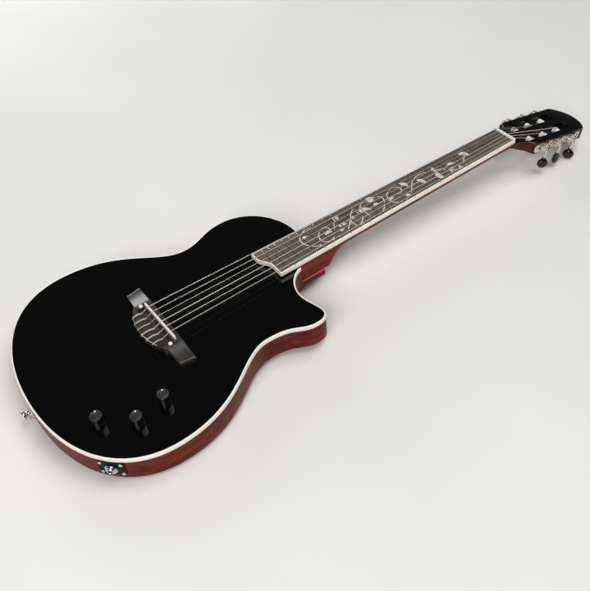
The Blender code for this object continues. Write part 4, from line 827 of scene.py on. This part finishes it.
def bridge_ring(x):
    """One upright slice of the bridge: foot, eased front edge, top and eased back edge. The wings' tops
    rise from their flat ends to the shelf as half a cosine, steepest near the shelf."""
    back = float(bridge_back(x))
    rise = np.clip((abs(x) - SHELF_HALF) / (WING_START - SHELF_HALF), 0, 1)
    height = WING + (SHELF - WING) * (1 + math.cos(math.pi * rise ** WING_DISH)) / 2
    height -= (height - END_HEIGHT) * np.clip((abs(x) - BRIDGE_HALF + END_BEVEL) / END_BEVEL, 0, 1) ** 2
    ease = quarter(6)
    drop = min(FRONT_EASE_DROP, height * 0.4)
    front_y = BRIDGE_FRONT - FRONT_EASE_REACH * (1 - np.cos(ease))
    front_z = height - drop * (1 - np.sin(ease))
    if abs(x) <= BLOCK_HALF:
        share = np.linspace(0, 1, 17)
        valley_y = (2.0, -3.4, -4.3, -5.0, 0.6 - BLOCK_FRONT, -BLOCK_FRONT, -BLOCK_FRONT - 0.15)
        valley_z = (SHELF, SHELF, SHELF - 0.7, VALLEY, VALLEY, SHELF - 0.6, SHELF)
        y = (front_y, valley_y, block_line(share, back), (0.9 - back, 0.3 - back, -back))
        z = (front_z, valley_z, block_top(share), (SHELF, SHELF - 0.9, SHELF - 2.0))
    else:
        y = (front_y, np.linspace(2.0, 1.9 - back, 21), (1.3 * (1 - np.cos(ease)) - back)[::-1])
        z = (front_z, np.full(21, height), (height - BACK_EASE * (1 - np.sin(ease)))[::-1])
    y, z = np.concatenate(((BRIDGE_FRONT,), *y, (-back,))), np.concatenate(((0,), *z, (0,)))
    lean = math.copysign(END_SHEAR * max((abs(x) - SHELF_HALF) / (BRIDGE_HALF - SHELF_HALF), 0), x)
    return np.column_stack((x + lean * (y + WING_BACK / 2), y, BRIDGE_LOW + z))


wing_places = np.concatenate((np.linspace(-BRIDGE_HALF, END_BEVEL - BRIDGE_HALF, 8),
                              np.linspace(END_BEVEL - BRIDGE_HALF, -BLOCK_HALF - 0.15, 40)[1:]))
places = np.concatenate((wing_places, np.linspace(-BLOCK_HALF, BLOCK_HALF, 41), -wing_places[::-1]))
string_places = STRING_SPREAD_SADDLE * (np.arange(6) / 5 - 0.5)
holes = [rod((x, -50, HOLE_HEIGHT), (x, 6 - BLOCK_FRONT, HOLE_HEIGHT), HOLE_RADIUS, 14)
         for x in string_places]
saddle_fit = (SADDLE_HALF + GLUE_LINE, SADDLE_THICKNESS / 2 + GLUE_LINE)
slot_foot = level(rectangle((0, 0), saddle_fit), saddle_low + 0.2)
saddle_slot = skin((slanted(slot_foot), slanted(slot_foot + np.array((0, 0, 16.0)))))
make("rosewood_bridge", skin([bridge_ring(x) for x in places]), dark_rosewood,
     ("bridge",), (saddle_slot, *holes))

# Pearl dots on the shelf: white domes.
# Pearloid: milky white with slow swirls, glossy.
pearloid = tinted("white_pearloid", 500.0, 2.0, ("#dcd9d1", "#f8f7f3"), distortion=2.0,
                  Roughness=0.2, Coat_Weight=0.5, Coat_Roughness=0.05)
DOT_X, DOT_Y, DOT_RADIUS, DOT_DOME = 42.0, -7.6, 2.9, 1.3
SIDES = ((-1, "bass"), (1, "treble"))


def turned(profile, centre=(0, 0, 0), axis=(0, 0, 1), steps=32):
    """A turned form from (radius, height) pairs, its axis turned from +Z to the given direction."""
    profile = np.asarray(profile, dtype=float)
    around = profile[:, None, :1] * unit(circle(steps))
    rings = np.concatenate((around, np.repeat(profile[:, None, 1:], steps, axis=1)), axis=-1)
    spin = np.array(Vector((0, 0, 1)).rotation_difference(Vector(axis)).to_matrix())
    return skin(rings @ spin.T + np.array(centre))


dot_low, dot_high = BRIDGE_LOW + SHELF - 0.6, BRIDGE_LOW + SHELF + 0.1
dome = [(DOT_RADIUS * math.cos(a) + 0.02, dot_high + DOT_DOME * math.sin(a)) for a in quarter(8)]
for side, name in SIDES:
    dot = turned([(DOT_RADIUS, dot_low), *dome], (side * DOT_X, DOT_Y, 0))
    make(f"pearl_dot_{name}", dot, pearloid, (f"bridge_dot_{name}",))


# The strings: three nylon trebles and three basses of silvered wire wound on floss. Each is tied
# to the block by a loop that goes through, back over the top and round itself, runs over saddle
# and nut, and is wound on its roller in the head.

# Silvered copper winding: bright grey rings; drawn 1.2 mm apart, for the real 0.3 mm is too fine.
winding, tree, shader = finish("silvered_winding", Metallic=1.0, Roughness=0.42)
coils = add(tree, "TexWave", {"Vector": grain_space(tree, EVEN), "Scale": 130.0}, bands_direction="Y")
coils = coils.outputs["Fac"]
tree.links.new(ramp(tree, coils, ((0.1, "#a9a59b"), (0.8, "#d6d3ca"))), shader.inputs["Base Color"])
emboss(tree, shader, coils, 0.25, 0.0002)
# Nylon: clear monofilament gone milky, catching the light along its whole length.
nylon = tinted("milky_nylon", 200.0, 2.0, ("#bdb7ab", "#d6d0c4"), (1, 0.1, 1), Roughness=0.22,
               IOR=1.53, Coat_Weight=0.4)
STRING_DIAMETERS = (1.12, 0.91, 0.74, 1.02, 0.82, 0.71)
STRING_NAMES = ("string_6_low_e", "string_5_a", "string_4_d", "string_3_g", "string_2_b", "string_1_high_e")
ROLLER_RADIUS, ROLLER_CLEAR = 5.0, 0.15
COIL_STARTS, COIL_TURNS, COIL_GAP = (2.2, -1.6, -5.4), 2.5, 0.25
NUT_RISE = 1.4


def tube(path, radius, sides=10):
    """A round cord along a path: each ring is square to the path, in a frame carried along it."""
    path = np.asarray(path, dtype=float)
    keep = np.concatenate(([True], np.linalg.norm(np.diff(path, axis=0), axis=1) > 1e-6))
    path = path[keep]
    ahead = np.gradient(path, axis=0)
    ahead /= np.linalg.norm(ahead, axis=1, keepdims=True)
    side = np.cross(ahead[0], (0.3, 0.2, 1.0))
    sides_at = [side / np.linalg.norm(side)]
    for d in ahead[1:]:
        s = sides_at[-1] - d * (sides_at[-1] @ d)
        sides_at.append(s / np.linalg.norm(s))
    sides_at = np.array(sides_at)
    other = np.cross(ahead, sides_at)
    around = unit(circle(sides))[None]
    ring = around[..., :1] * sides_at[:, None] + around[..., 1:] * other[:, None]
    return skin(path[:, None] + radius * ring)


def tie_path(i):
    """Out of the hole, over the arch, under the string in front, back over, and along the edge."""
    x, radius = string_places[i], STRING_DIAMETERS[i] / 2
    back = float(bridge_back(x))
    share = np.linspace(0.04, 0.96, 7)
    over_y = block_line(share, back)
    over_z = BRIDGE_LOW + block_top(share) + radius + 0.1
    lane = 1.08 * radius
    first = np.column_stack((np.full(7, x + lane), over_y, over_z))[::-1]
    second = np.column_stack((np.full(7, x - lane), over_y, over_z + 0.05))
    edge = BRIDGE_LOW + SHELF + BLOCK_LIFT
    start = ((x, -BLOCK_FRONT - 3, HOLE_HEIGHT), (x, 2 - back, HOLE_HEIGHT),
             (x, -back - 0.5, HOLE_HEIGHT + 0.1), (x + 0.6 * lane, -back - radius - 0.45, HOLE_HEIGHT + 1.0),
             (x + lane, -back - 0.3, edge + 0.3))
    turn = ((x + 1.5 * lane, 0.3 - BLOCK_FRONT, edge + 0.6), (x + 1.6 * lane, 1.6 - BLOCK_FRONT, edge - 0.2),
            (x, 2.0 - BLOCK_FRONT, edge - 1.4), (x - 1.6 * lane, 1.6 - BLOCK_FRONT, edge - 0.2),
            (x - 1.5 * lane, 0.3 - BLOCK_FRONT, edge + 0.6))
    high = edge + 2.9 * radius
    run = np.array(((-1.6 * lane, -0.2, high - radius), (-0.6 * lane, -0.5, high),
                    (1.2 * lane, -0.6, high + 0.1), (3.2 * lane, -0.5, high - 1.2 * radius),
                    (5.5, 0.0, edge + radius), (8.6, 0.1, edge + radius), (10.3, 0.2, high - 0.6 * radius),
                    (11.6, 0.3, high + 0.7 * radius), (12.9, 0.6, high - 0.4 * radius)))
    run = run if i < 5 else run[:5]
    tail = np.column_stack((x + run[:, 0], run[:, 1] - bridge_back(x + run[:, 0]) + 0.9, run[:, 2]))
    return np.concatenate((start, first, turn, second, tail))


def roller_place(i):
    """Side, order and distance from the nut of string i's roller: outer strings wind nearest the nut."""
    order = min(i, 5 - i)
    return -1 if i < 3 else 1, order, ROLLER_PLACES[order]


def string_path(i):
    """Hole, saddle, nut, then a helix round the roller: the angle grows as the place moves out."""
    radius = STRING_DIAMETERS[i] / 2
    x_saddle, x_nut = string_places[i], STRING_SPREAD_NUT * (i / 5 - 0.5)
    y_saddle = x_saddle * math.tan(SADDLE_SLANT)
    z_saddle, z_nut = STRING_HEIGHT + radius, BOARD_TOP + NUT_RISE + radius
    path = [(x_saddle, -BLOCK_FRONT - 4, HOLE_HEIGHT), (x_saddle, -BLOCK_FRONT, HOLE_HEIGHT + 0.3),
            (x_saddle, 1.3 - BLOCK_FRONT, HOLE_HEIGHT + 1.9), (x_saddle, y_saddle - 1.6, z_saddle - 0.55),
            (x_saddle, y_saddle - 0.7, z_saddle - 0.12), (x_saddle, y_saddle + 0.2, z_saddle)]
    share = np.linspace(0.002, 1, 40)[:, None]
    at_saddle, at_nut = np.array((x_saddle, y_saddle, z_saddle)), np.array((x_nut, SCALE_LENGTH, z_nut))
    path += (at_saddle * (1 - share) + at_nut * share).tolist()
    path += [(x_nut, SCALE_LENGTH + 2.5, z_nut - 0.02), (x_nut, SCALE_LENGTH + NUT_LENGTH, z_nut - 0.25)]
    side, order, u_roller = roller_place(i)
    c, s = math.cos(HEAD_TILT), math.sin(HEAD_TILT)
    lift = z_nut - BOARD_BOTTOM
    u_nut, n_nut = NUT_LENGTH * c - lift * s, NUT_LENGTH * s + lift * c
    wrap = ROLLER_RADIUS + ROLLER_CLEAR + radius
    du, dn = u_roller - u_nut, -ROLLER_DEPTH - n_nut
    slope = math.atan2(dn, du) + math.asin(wrap / math.hypot(du, dn))
    k = np.linspace(0, COIL_TURNS, 80)
    a = -slope + 2 * math.pi * k
    x = side * (SLOT_CENTRE + COIL_STARTS[order]) + side * (2 * radius + COIL_GAP) * k
    coil = in_head(np.column_stack((x, u_roller + wrap * np.sin(a), -ROLLER_DEPTH + wrap * np.cos(a))))
    return np.concatenate((np.array(path), coil))


for i, name in enumerate(STRING_NAMES):
    radius = STRING_DIAMETERS[i] / 2
    surface, slot = (winding, "silvered_copper_winding") if i < 3 else (nylon, "clear_nylon")
    shape = together(tube(string_path(i), radius), tube(smooth_path(tie_path(i), 5), radius, 8))
    make(f"{name}_and_tie", shape, surface, (name,), sharp=60)


# The tuning machines: three on each side of the head, on one nickel plate. A black oval button
# turns a worm, the worm turns a brass wheel, and the wheel's post carries a white roller.

PLATE_INNER, PLATE_OUTER = HEAD_HALF + 0.3, HEAD_HALF + 1.8
WORM_X = 45.3
GEAR_TEETH, GEAR_PITCH, GEAR_WIDTH, GEAR_EASE = 14, 3.1, 3.0, 0.96
GEAR_RADIUS = GEAR_TEETH * GEAR_PITCH / (2 * math.pi)
TOOTH_TIP, TOOTH_ROOT, WORM_TURNS = 0.8, 1.1, 1.45
WORM_OFFSET = GEAR_RADIUS + 3.0
POST_RADIUS, POST_START, POST_EASE = 3.0, 1.8, 0.4
EAR_OFFSET, EAR_THICKNESS = 6.6, 1.5
SHAFT_RADIUS, SHAFT_END = 2.2, 27.0
BUTTON_START, BUTTON_LENGTH, BUTTON_WIDE, BUTTON_THIN = 20.5, 19.0, 9.4, 4.9
BUTTON_TURNS = (15.0, 70.0, 0.0, 35.0, 100.0, 60.0)

# White moulded plastic: warm white, faintly mottled, glossy.
white_plastic = tinted("white_moulded_plastic", 120.0, 3.0, ("#f3f0ea", "#fdfcf9"),
                       Roughness=0.25, Subsurface_Weight=0.15, Subsurface_Scale=0.002)
# Nickel plate: warm grey metal, bright on its edges, dulled by handling in soft patches.
nickel = tinted("warm_nickel_plate", 90.0, 4.0, ("#c9c4ba", "#e6e2da"), gloss=(0.14, 0.34),
                Metallic=1.0)
# Cut brass under a thin nickel wash: pale warm metal with machining marks between the teeth.
brass = tinted("nickel_washed_brass", 200.0, 4.0, ("#bab0a2", "#e6dfd4"), (3, 1, 1),
               Metallic=1.0, Roughness=0.32)
# Black acetate: deep black buttons, buffed to a soft gloss.
black_acetate = tinted("buffed_black_acetate", 60.0, 4.0, ("#08080a", "#111113"),
                       gloss=(0.14, 0.3), IOR=1.48)

face_up = head_point(0, 0, 1) - head_point(0, 0, 0)
face_on = head_point(0, 1, 0) - head_point(0, 0, 0)


def gear_outline():
    """Worm-wheel teeth: each is a flat-topped tooth between arcs of the root circle."""
    centre = (np.arange(GEAR_TEETH)[:, None] + 0.5) * 2 * math.pi / GEAR_TEETH
    tip, root = GEAR_RADIUS + TOOTH_TIP, GEAR_RADIUS - TOOTH_ROOT
    radius = np.array((root, root + 0.5, tip - 0.3, tip, tip, tip - 0.3, root + 0.5, root))
    half = np.array((-0.75, -0.6, -0.45, -0.28, 0.28, 0.45, 0.6, 0.75))
    return (radius[:, None] * unit(centre + half / radius)).reshape(-1, 2)


def worm_thread():
    """Right-handed ridge: a trapezium carried round and up by one pitch a turn."""
    turns = np.linspace(-WORM_TURNS, WORM_TURNS, 70)
    around = unit(2 * math.pi * turns - RIGHT_ANGLE)
    section = ((1.5, -0.55), (3.5, -0.28), (3.5, 0.28), (1.5, 0.55))
    edges = [np.column_stack((r * around, GEAR_PITCH * turns + up)) for r, up in section]
    return skin(np.stack(edges, axis=1))


def placed(shape, origin, axes):
    """A shape set at an origin, its own three axes turned to the given ones."""
    points, faces = shape
    return points @ np.array(axes) + np.array(origin), faces


BUTTON_SHAPE = ((0.0, 3.2, 3.2), (0.03, 3.5, 3.5), (0.11, 3.5, 3.5), (0.15, 3.1, 3.1), (0.19, 4.4, 3.7),
                (0.27, 7.0, 4.3), (0.38, 8.9, 4.65), (0.52, BUTTON_WIDE, BUTTON_THIN), (0.66, 9.25, 4.8),
                (0.78, 8.4, 4.5), (0.88, 6.6, 3.9), (0.95, 4.4, 2.9), (0.99, 2.2, 1.6), (1.0, 0.8, 0.6))
share, wide, thin = np.array(BUTTON_SHAPE).T
fine = np.linspace(0, 1, 40)
ovals = np.column_stack((np.interp(fine, share, wide), np.interp(fine, share, thin)))
button_shape = skin([level(oval * unit(circle(36)), -BUTTON_START - t * BUTTON_LENGTH)
                     for t, oval in zip(fine, ovals)])
reach = SLOT_WIDTH / 2 - 0.4
lips = mirrored(((reach, -1.8), (reach, -0.4), (reach - 0.4, 0.1), (reach - 1.0, 0)))
sleeve = [(ROLLER_RADIUS + r, SLOT_CENTRE + x) for x, r in (*lips[:4], (0, -0.1), *lips[4:])]
wheel = skin([at_x(x, gear_outline() * s) for x, s in
              mirrored(((GEAR_WIDTH / 2, GEAR_EASE), (GEAR_WIDTH / 2 - 0.3, 1.0)))])
gear_screw = [(r, WORM_X + x) for r, x in ((0.2, 1.4), (2.9, 1.4), (2.9, 2.2), (2.3, 2.7), (0.2, 2.8))]
post_profile = [(POST_RADIUS - POST_EASE, POST_START), (POST_RADIUS, POST_START + POST_EASE),
                (POST_RADIUS, WORM_X - POST_EASE), (POST_RADIUS - POST_EASE, WORM_X)]
inner_end, outer_end = EAR_OFFSET - 1.05, EAR_OFFSET + 1.05
core = [(2.0, -SHAFT_END + 1), (SHAFT_RADIUS, -outer_end - 3.5), (3.1, -outer_end - 3.2),
        (3.3, -outer_end - 2.4), (3.3, -outer_end - 0.5), (3.0, -outer_end), (1.5, -outer_end),
        (1.5, -inner_end), (1.9, -inner_end), (1.9, inner_end), (1.5, inner_end), (1.5, outer_end),
        (2.5, outer_end), (2.5, outer_end + 0.5), (1.9, outer_end + 0.9)]
worm = together(turned(core), worm_thread())
worm_axes = np.array(((1, 0, 0), np.cross(face_up, (1, 0, 0)), face_up))
for i, angle in enumerate(BUTTON_TURNS):
    number = 6 - i
    side, _, u = roller_place(i)
    out = np.array((side, 0.0, 0.0))
    post = head_point(0, u, -ROLLER_DEPTH)
    make(f"roller_{number}", turned(sleeve, post, out), white_plastic,
         (f"tuner_roller_{number}",), body=f"roller_{number}")
    cut_wheel = placed(wheel, post + out * WORM_X, (out, face_on, face_up))
    on_post = [turned(profile, post, out, 24) for profile in (gear_screw, post_profile)]
    make(f"wheel_and_post_{number}", together(cut_wheel, *on_post), brass,
         (f"tuner_gear_{number}",), body=f"roller_{number}")
    shaft = head_point(side * WORM_X, u + WORM_OFFSET, -ROLLER_DEPTH)
    make(f"worm_and_shaft_{number}", placed(worm, shaft, worm_axes), nickel,
         (f"tuner_worm_{number}",), body=f"worm_{number}")
    c, s = unit(math.radians(angle))
    spin = np.array(((c, s, 0), (-s, c, 0), (0, 0, 1)))
    make(f"button_{number}", placed(button_shape, shaft, spin @ worm_axes), black_acetate,
         (f"tuner_button_{number}",), body=f"worm_{number}")

# The plates: 1.5 mm strip with its ears bent out, screwed to the head's edge between machines.
PLATE_END, PLATE_CORNER, EAR_HALF_THICKNESS = 18.5, 5.0, 0.7
SCREW_INSET, SCREW_ASIDE = 4.5, 9.0
plate_centre = np.array((ROLLER_FIRST + ROLLER_SPACING + WORM_OFFSET / 2, -ROLLER_DEPTH))
plate_half = (ROLLER_SPACING + WORM_OFFSET / 2 + PLATE_END, EAR_OFFSET + EAR_THICKNESS / 2)
plate_plan = rectangle(plate_centre, plate_half, PLATE_CORNER)
ear_edge = np.array(((PLATE_INNER + 0.4, 3.7), (WORM_X + 1.6, 3.7), (WORM_X + 3.0, 2.8)))
ear = np.concatenate((ear_edge * (1, -1), ((WORM_X + 3.7, 0),), ear_edge[::-1]))
screw_reach = plate_half[0] - SCREW_INSET
screw_places = (plate_centre[0] - screw_reach, plate_centre[0] + screw_reach,
                *[u - SCREW_ASIDE for u in ROLLER_PLACES[1:]])
screw_head = ((2.6, -0.1), (2.6, 0.35), (2.2, 0.9), (1.3, 1.25), (0.2, 1.35))
for side, name in SIDES:
    parts = [skin([in_head(at_x(side * x, plate_plan + (plate_centre - plate_plan) * s))
                   for x, s in ((PLATE_INNER, 0), (PLATE_OUTER - 0.3, 0), (PLATE_OUTER, 0.02))])]
    for u in ROLLER_PLACES:
        for up in (-EAR_OFFSET, EAR_OFFSET):
            plan = (0, u + WORM_OFFSET) + ear * (side, 1)
            parts.append(skin([in_head(level(plan, up - ROLLER_DEPTH + h))
                               for h in (-EAR_HALF_THICKNESS, EAR_HALF_THICKNESS)]))
    for u in screw_places:
        parts.append(turned(screw_head, head_point(side * PLATE_OUTER, u, -ROLLER_DEPTH), (side, 0, 0), 20))
    make(f"side_plate_{name}", together(*parts), nickel, (f"tuner_plate_{name}",))


# The controls: three black knobs on pots under the top, each with a white pointer dot, and the
# jack with its screwed plate low on the treble side.

KNOB_LOW, KNOB_RADIUS, KNOB_TOP_RADIUS, KNOB_HEIGHT = BODY_TOP + 0.6, 9.0, 8.4, 18.0
RUB_AND_LIGHT_START, RUB_AND_LIGHT_FULL = 0.6, 0.2
POINTER_REACH, POINTER_ANGLE, POINTER_RADIUS = 6.0, math.radians(160), 1.0
knob_top = KNOB_LOW + KNOB_HEIGHT

# Black phenolic: dark knobs with a soft moulded sheen; their tops are dulled by fingers and coloured a paler
# grey as a painted highlight.
phenolic, tree, shader = finish("moulded_black_phenolic", IOR=1.45)
scuff = grain(tree, 300.0, 5.0)
# Finger wear and painted highlight: the knob's flat top is blended to a paler grey and made rougher.
rubbed_and_lit_top = remap(tree, split(tree, "Object")["Z"], (knob_top - RUB_AND_LIGHT_START) * MM, (knob_top - RUB_AND_LIGHT_FULL) * MM)
clean, worn_and_lit = [ramp(tree, scuff, ((0.35, low), (0.7, high)))
               for low, high in (("#070708", "#101011"), ("#121213", "#222223"))]
tree.links.new(blend(tree, rubbed_and_lit_top, clean, worn_and_lit), shader.inputs["Base Color"])
tree.links.new(remap(tree, rubbed_and_lit_top, 0, 1, 0.22, 0.5), shader.inputs["Roughness"])
knob_profile = [(6.0, KNOB_LOW), (KNOB_RADIUS - 0.3, KNOB_LOW), (KNOB_RADIUS, KNOB_LOW + 0.4),
                (KNOB_RADIUS, KNOB_LOW + 1.6), (KNOB_TOP_RADIUS + 0.4, KNOB_LOW + 2.4),
                (KNOB_TOP_RADIUS, knob_top - 1.6), (KNOB_TOP_RADIUS - 0.25, knob_top - 0.7),
                (KNOB_TOP_RADIUS - 0.9, knob_top - 0.15), (KNOB_TOP_RADIUS - 1.7, knob_top),
                (5.9, knob_top - 0.1), (5.4, knob_top - 0.35), (4.9, knob_top - 0.1), (0.3, knob_top - 0.15)]
pointer = ((POINTER_RADIUS, -0.4), (POINTER_RADIUS, 0.0), (0.6, 0.1), (0.1, 0.12))
for (x, y), name in zip(KNOB_PLACES, ("volume", "bass", "treble")):
    make(f"{name}_knob_turned", turned(knob_profile, (x, y, 0), steps=48), phenolic,
         (f"{name}_knob",), body=f"{name}_knob")
    dot = turned(pointer, (*((x, y) + POINTER_REACH * unit(POINTER_ANGLE)), knob_top), steps=20)
    make(f"{name}_pointer_dot", dot, white_plastic, body=f"{name}_knob")

# Polished chrome: cold bright metal with faint fingerprints.
chrome = tinted("polished_chrome", 140.0, 4.0, ("#c9cbd0", "#dddfe3"), gloss=(0.05, 0.2),
                Metallic=1.0)
JACK_ANGLE, JACK_HEIGHT = -46.0, 23.3
# The side's run is measured from the tail to the waist, and its facing as far as the widest place.
lower_treble = treble_side[:2 * CURVE_STEPS + 1]
edge = np.diff(lower_treble, axis=0)
run = np.concatenate(([0.0], np.cumsum(np.linalg.norm(edge, axis=1))))
facing = np.degrees(np.arctan2(-edge[:CURVE_STEPS, 0], edge[:CURVE_STEPS, 1]))
jack_run = float(np.interp(JACK_ANGLE, facing, (run[:CURVE_STEPS] + run[1:CURVE_STEPS + 1]) / 2))


def along_side(where):
    """Plan points of the lower treble side at distances along it."""
    return np.column_stack([np.interp(where, run, lower_treble[:, k]) for k in (0, 1)])


def on_side(where, out, height):
    """Points on the lower treble side: distance along it, out from it, and height."""
    where = np.asarray(where, dtype=float)
    ahead = along_side(where + 0.5) - along_side(where - 0.5)
    square = np.column_stack((ahead[:, 1], -ahead[:, 0])) / np.linalg.norm(ahead, axis=1, keepdims=True)
    return np.column_stack((along_side(where) + square * out, np.broadcast_to(height, len(where))))


def out_of_side(where, out, height):
    """One point standing out from the side, and the step of 1 mm that leads on outwards."""
    base, beyond = [on_side([where], o, height)[0] for o in (out, out + 1.0)]
    return base, beyond - base


PLATE_LENGTH, PLATE_HEIGHT, PLATE_THICK = 34.0, 25.0, 2.0
SCREW_X, SCREW_UP, JACK_HOLE = 13.0, 9.5, 5.0
frame_plan = rectangle((0, 0), (PLATE_LENGTH / 2, PLATE_HEIGHT / 2), 3.0, 8)
plate_rings = [on_side(jack_run + frame_plan[:, 0] * s, out, JACK_HEIGHT + frame_plan[:, 1] * s)
               for out, s in ((0.1, 1.0), (PLATE_THICK - 0.3, 1.0), (PLATE_THICK, 0.975))]
jack_centre, jack_out = out_of_side(jack_run, 0.0, JACK_HEIGHT)
hole = rod(jack_centre - jack_out * 10, jack_centre + jack_out * 10, JACK_HOLE, 28)
# Textured ABS: black with an eroded-mould grain 0.5 mm across, which breaks up what it mirrors.
textured_abs = tinted("textured_black_abs", 2000.0, 2.0, ((0.35, "#0b0b0c"), (0.7, "#151516")),
                      relief=(0.3, 0.0002), Roughness=0.55, IOR=1.4, Specular_IOR_Level=0.25)
make("jack_plate_moulded", skin(plate_rings), textured_abs, ("jack_plate",),
     (hole,))
bush = PLATE_THICK + 0.2
socket = [(3.2, -20), (8.0, -20), (8.0, -1.0), (4.75, -0.9)]
socket += [(r, bush + x) for r, x in
           ((4.75, 0), (8.2, 0), (8.2, 0.6), (6.9, 0.7), (7.0, 1.0), (7.0, 2.3), (6.6, 2.7), (4.8, 2.8),
            (4.75, 3.9), (4.4, 4.3), (3.4, 4.3), (3.2, 4.0))]


def turned_ring(profile, centre, axis, steps=36):
    """A turned form with a hole through it: its closed section is carried round the axis."""
    points, _ = turned(profile, centre, axis, steps)
    return skin(points.reshape(len(profile), steps, 3).transpose(1, 0, 2), loop=True)


make("jack_bush_and_nut", turned_ring(socket, jack_centre, jack_out), chrome,
     ("jack_socket",), sharp=30)
# Oval-head screws at the plate's corners.
oval_head = ((2.5, -0.2), (2.5, 0.15), (2.1, 0.65), (1.2, 1.0), (0.1, 1.1))
for k, (along, up) in enumerate(((-1, 1), (1, 1), (1, -1), (-1, -1))):
    base, out = out_of_side(jack_run + along * SCREW_X, PLATE_THICK, JACK_HEIGHT + up * SCREW_UP)
    make(f"jack_plate_screw_{k + 1}", turned(oval_head, base, out, 24), chrome)

# The strap button: a turned chrome mushroom screwed to the tail over a pale felt washer.
BUTTON_HEIGHT, BUTTON_END = 16.8, 12.5
tail = (0, -TAIL_REACH, BUTTON_HEIGHT)
strap = ((3.2, 1.6), (6.0, 1.6), (5.6, 2.4), (4.2, 3.2), (3.5, 4.4), (3.5, 7.3), (4.2, 8.6), (5.8, 9.5),
         (6.8, 10.2), (7.0, 10.9), (6.8, 11.7), (6.0, 12.4), (4.0, BUTTON_END), (0.2, BUTTON_END))
make("strap_button_turned", turned(strap, tail, (0, -1, 0), 40), chrome,
     ("strap_button",))
# Wool felt: off-white, fuzzy, pressed thin.
felt = tinted("pressed_wool_felt", 900.0, 4.0, ("#c9c4b4", "#e6e2d4"), relief=(0.6, 0.0005),
              Roughness=0.9, Sheen_Weight=0.4)
washer = ((3.0, 0.05), (7.4, 0.05), (7.8, 0.5), (7.6, 1.2), (7.0, 1.6), (3.0, 1.6))
make("strap_button_washer", turned(washer, tail, (0, -1, 0), 36), felt)

# The back: a black cover over the pots and a battery box with a hinged door, both let in flush.
cover_plan = round_line(KNOB_PLACES, COVER_RADIUS - ROUT_GAP)
cover = skin([level(inset(cover_plan, d), z) for d, z in ((0.4, 0), (0, 0.4), (0, COVER_THICKNESS))])
make("control_cover_plate", cover, phenolic, ("control_cover",))
cover_screw = ((2.6, 0.0), (2.6, 0.2), (2.1, 0.5), (0.1, 0.6))
for k, (knob, aside) in enumerate(((0, (-14, -20)), (1, (24, -8)), (2, (10, 22)), (2, (-22, 6)))):
    x, y = KNOB_PLACES[knob] + aside
    screw = turned(cover_screw, (x, y, 0.3), (0, 0, -1), 24)
    make(f"cover_screw_{k + 1}", screw, chrome)
dress(phenolic, "battery_box", "battery_door")
# Zinc-plated steel of the pot cans and the battery case: grey, spangled, half dull.
zinc, tree, shader = finish("zinc_plated_can", Metallic=1.0, Roughness=0.4)
spangle = add(tree, "TexVoronoi", {"Vector": grain_space(tree, EVEN), "Scale": 450.0}).outputs["Color"]
tree.links.new(ramp(tree, spangle, ((0.2, "#a4a6a8"), (0.8, "#b4b6b8"))), shader.inputs["Base Color"])
dress(zinc, "volume_pot", "bass_pot", "treble_pot", "battery")
# Circuit board: green solder mask with paler tracks showing through.
mask, tree, shader = finish("green_solder_mask", Roughness=0.35)
tracks = add(tree, "TexBrick", {"Vector": grain_space(tree, EVEN), "Scale": 120.0,
                                "Color1": linear("#1b5a2c"), "Color2": linear("#16502a"),
                                "Mortar": linear("#3b7a47")})
tree.links.new(tracks.outputs["Color"], shader.inputs["Base Color"])
dress(mask, "preamp_board")
# Piezo film: amber tape with a fine weave.
film, tree, shader = finish("amber_piezo_film", Roughness=0.4)
weave = add(tree, "TexWave", {"Vector": grain_space(tree, EVEN), "Scale": 300.0}, bands_direction="DIAGONAL")
weave = weave.outputs["Fac"]
tree.links.new(ramp(tree, weave, ((0.2, "#8d6a34"), (0.8, "#b58d4e"))), shader.inputs["Base Color"])
dress(film, "saddle_pickup")
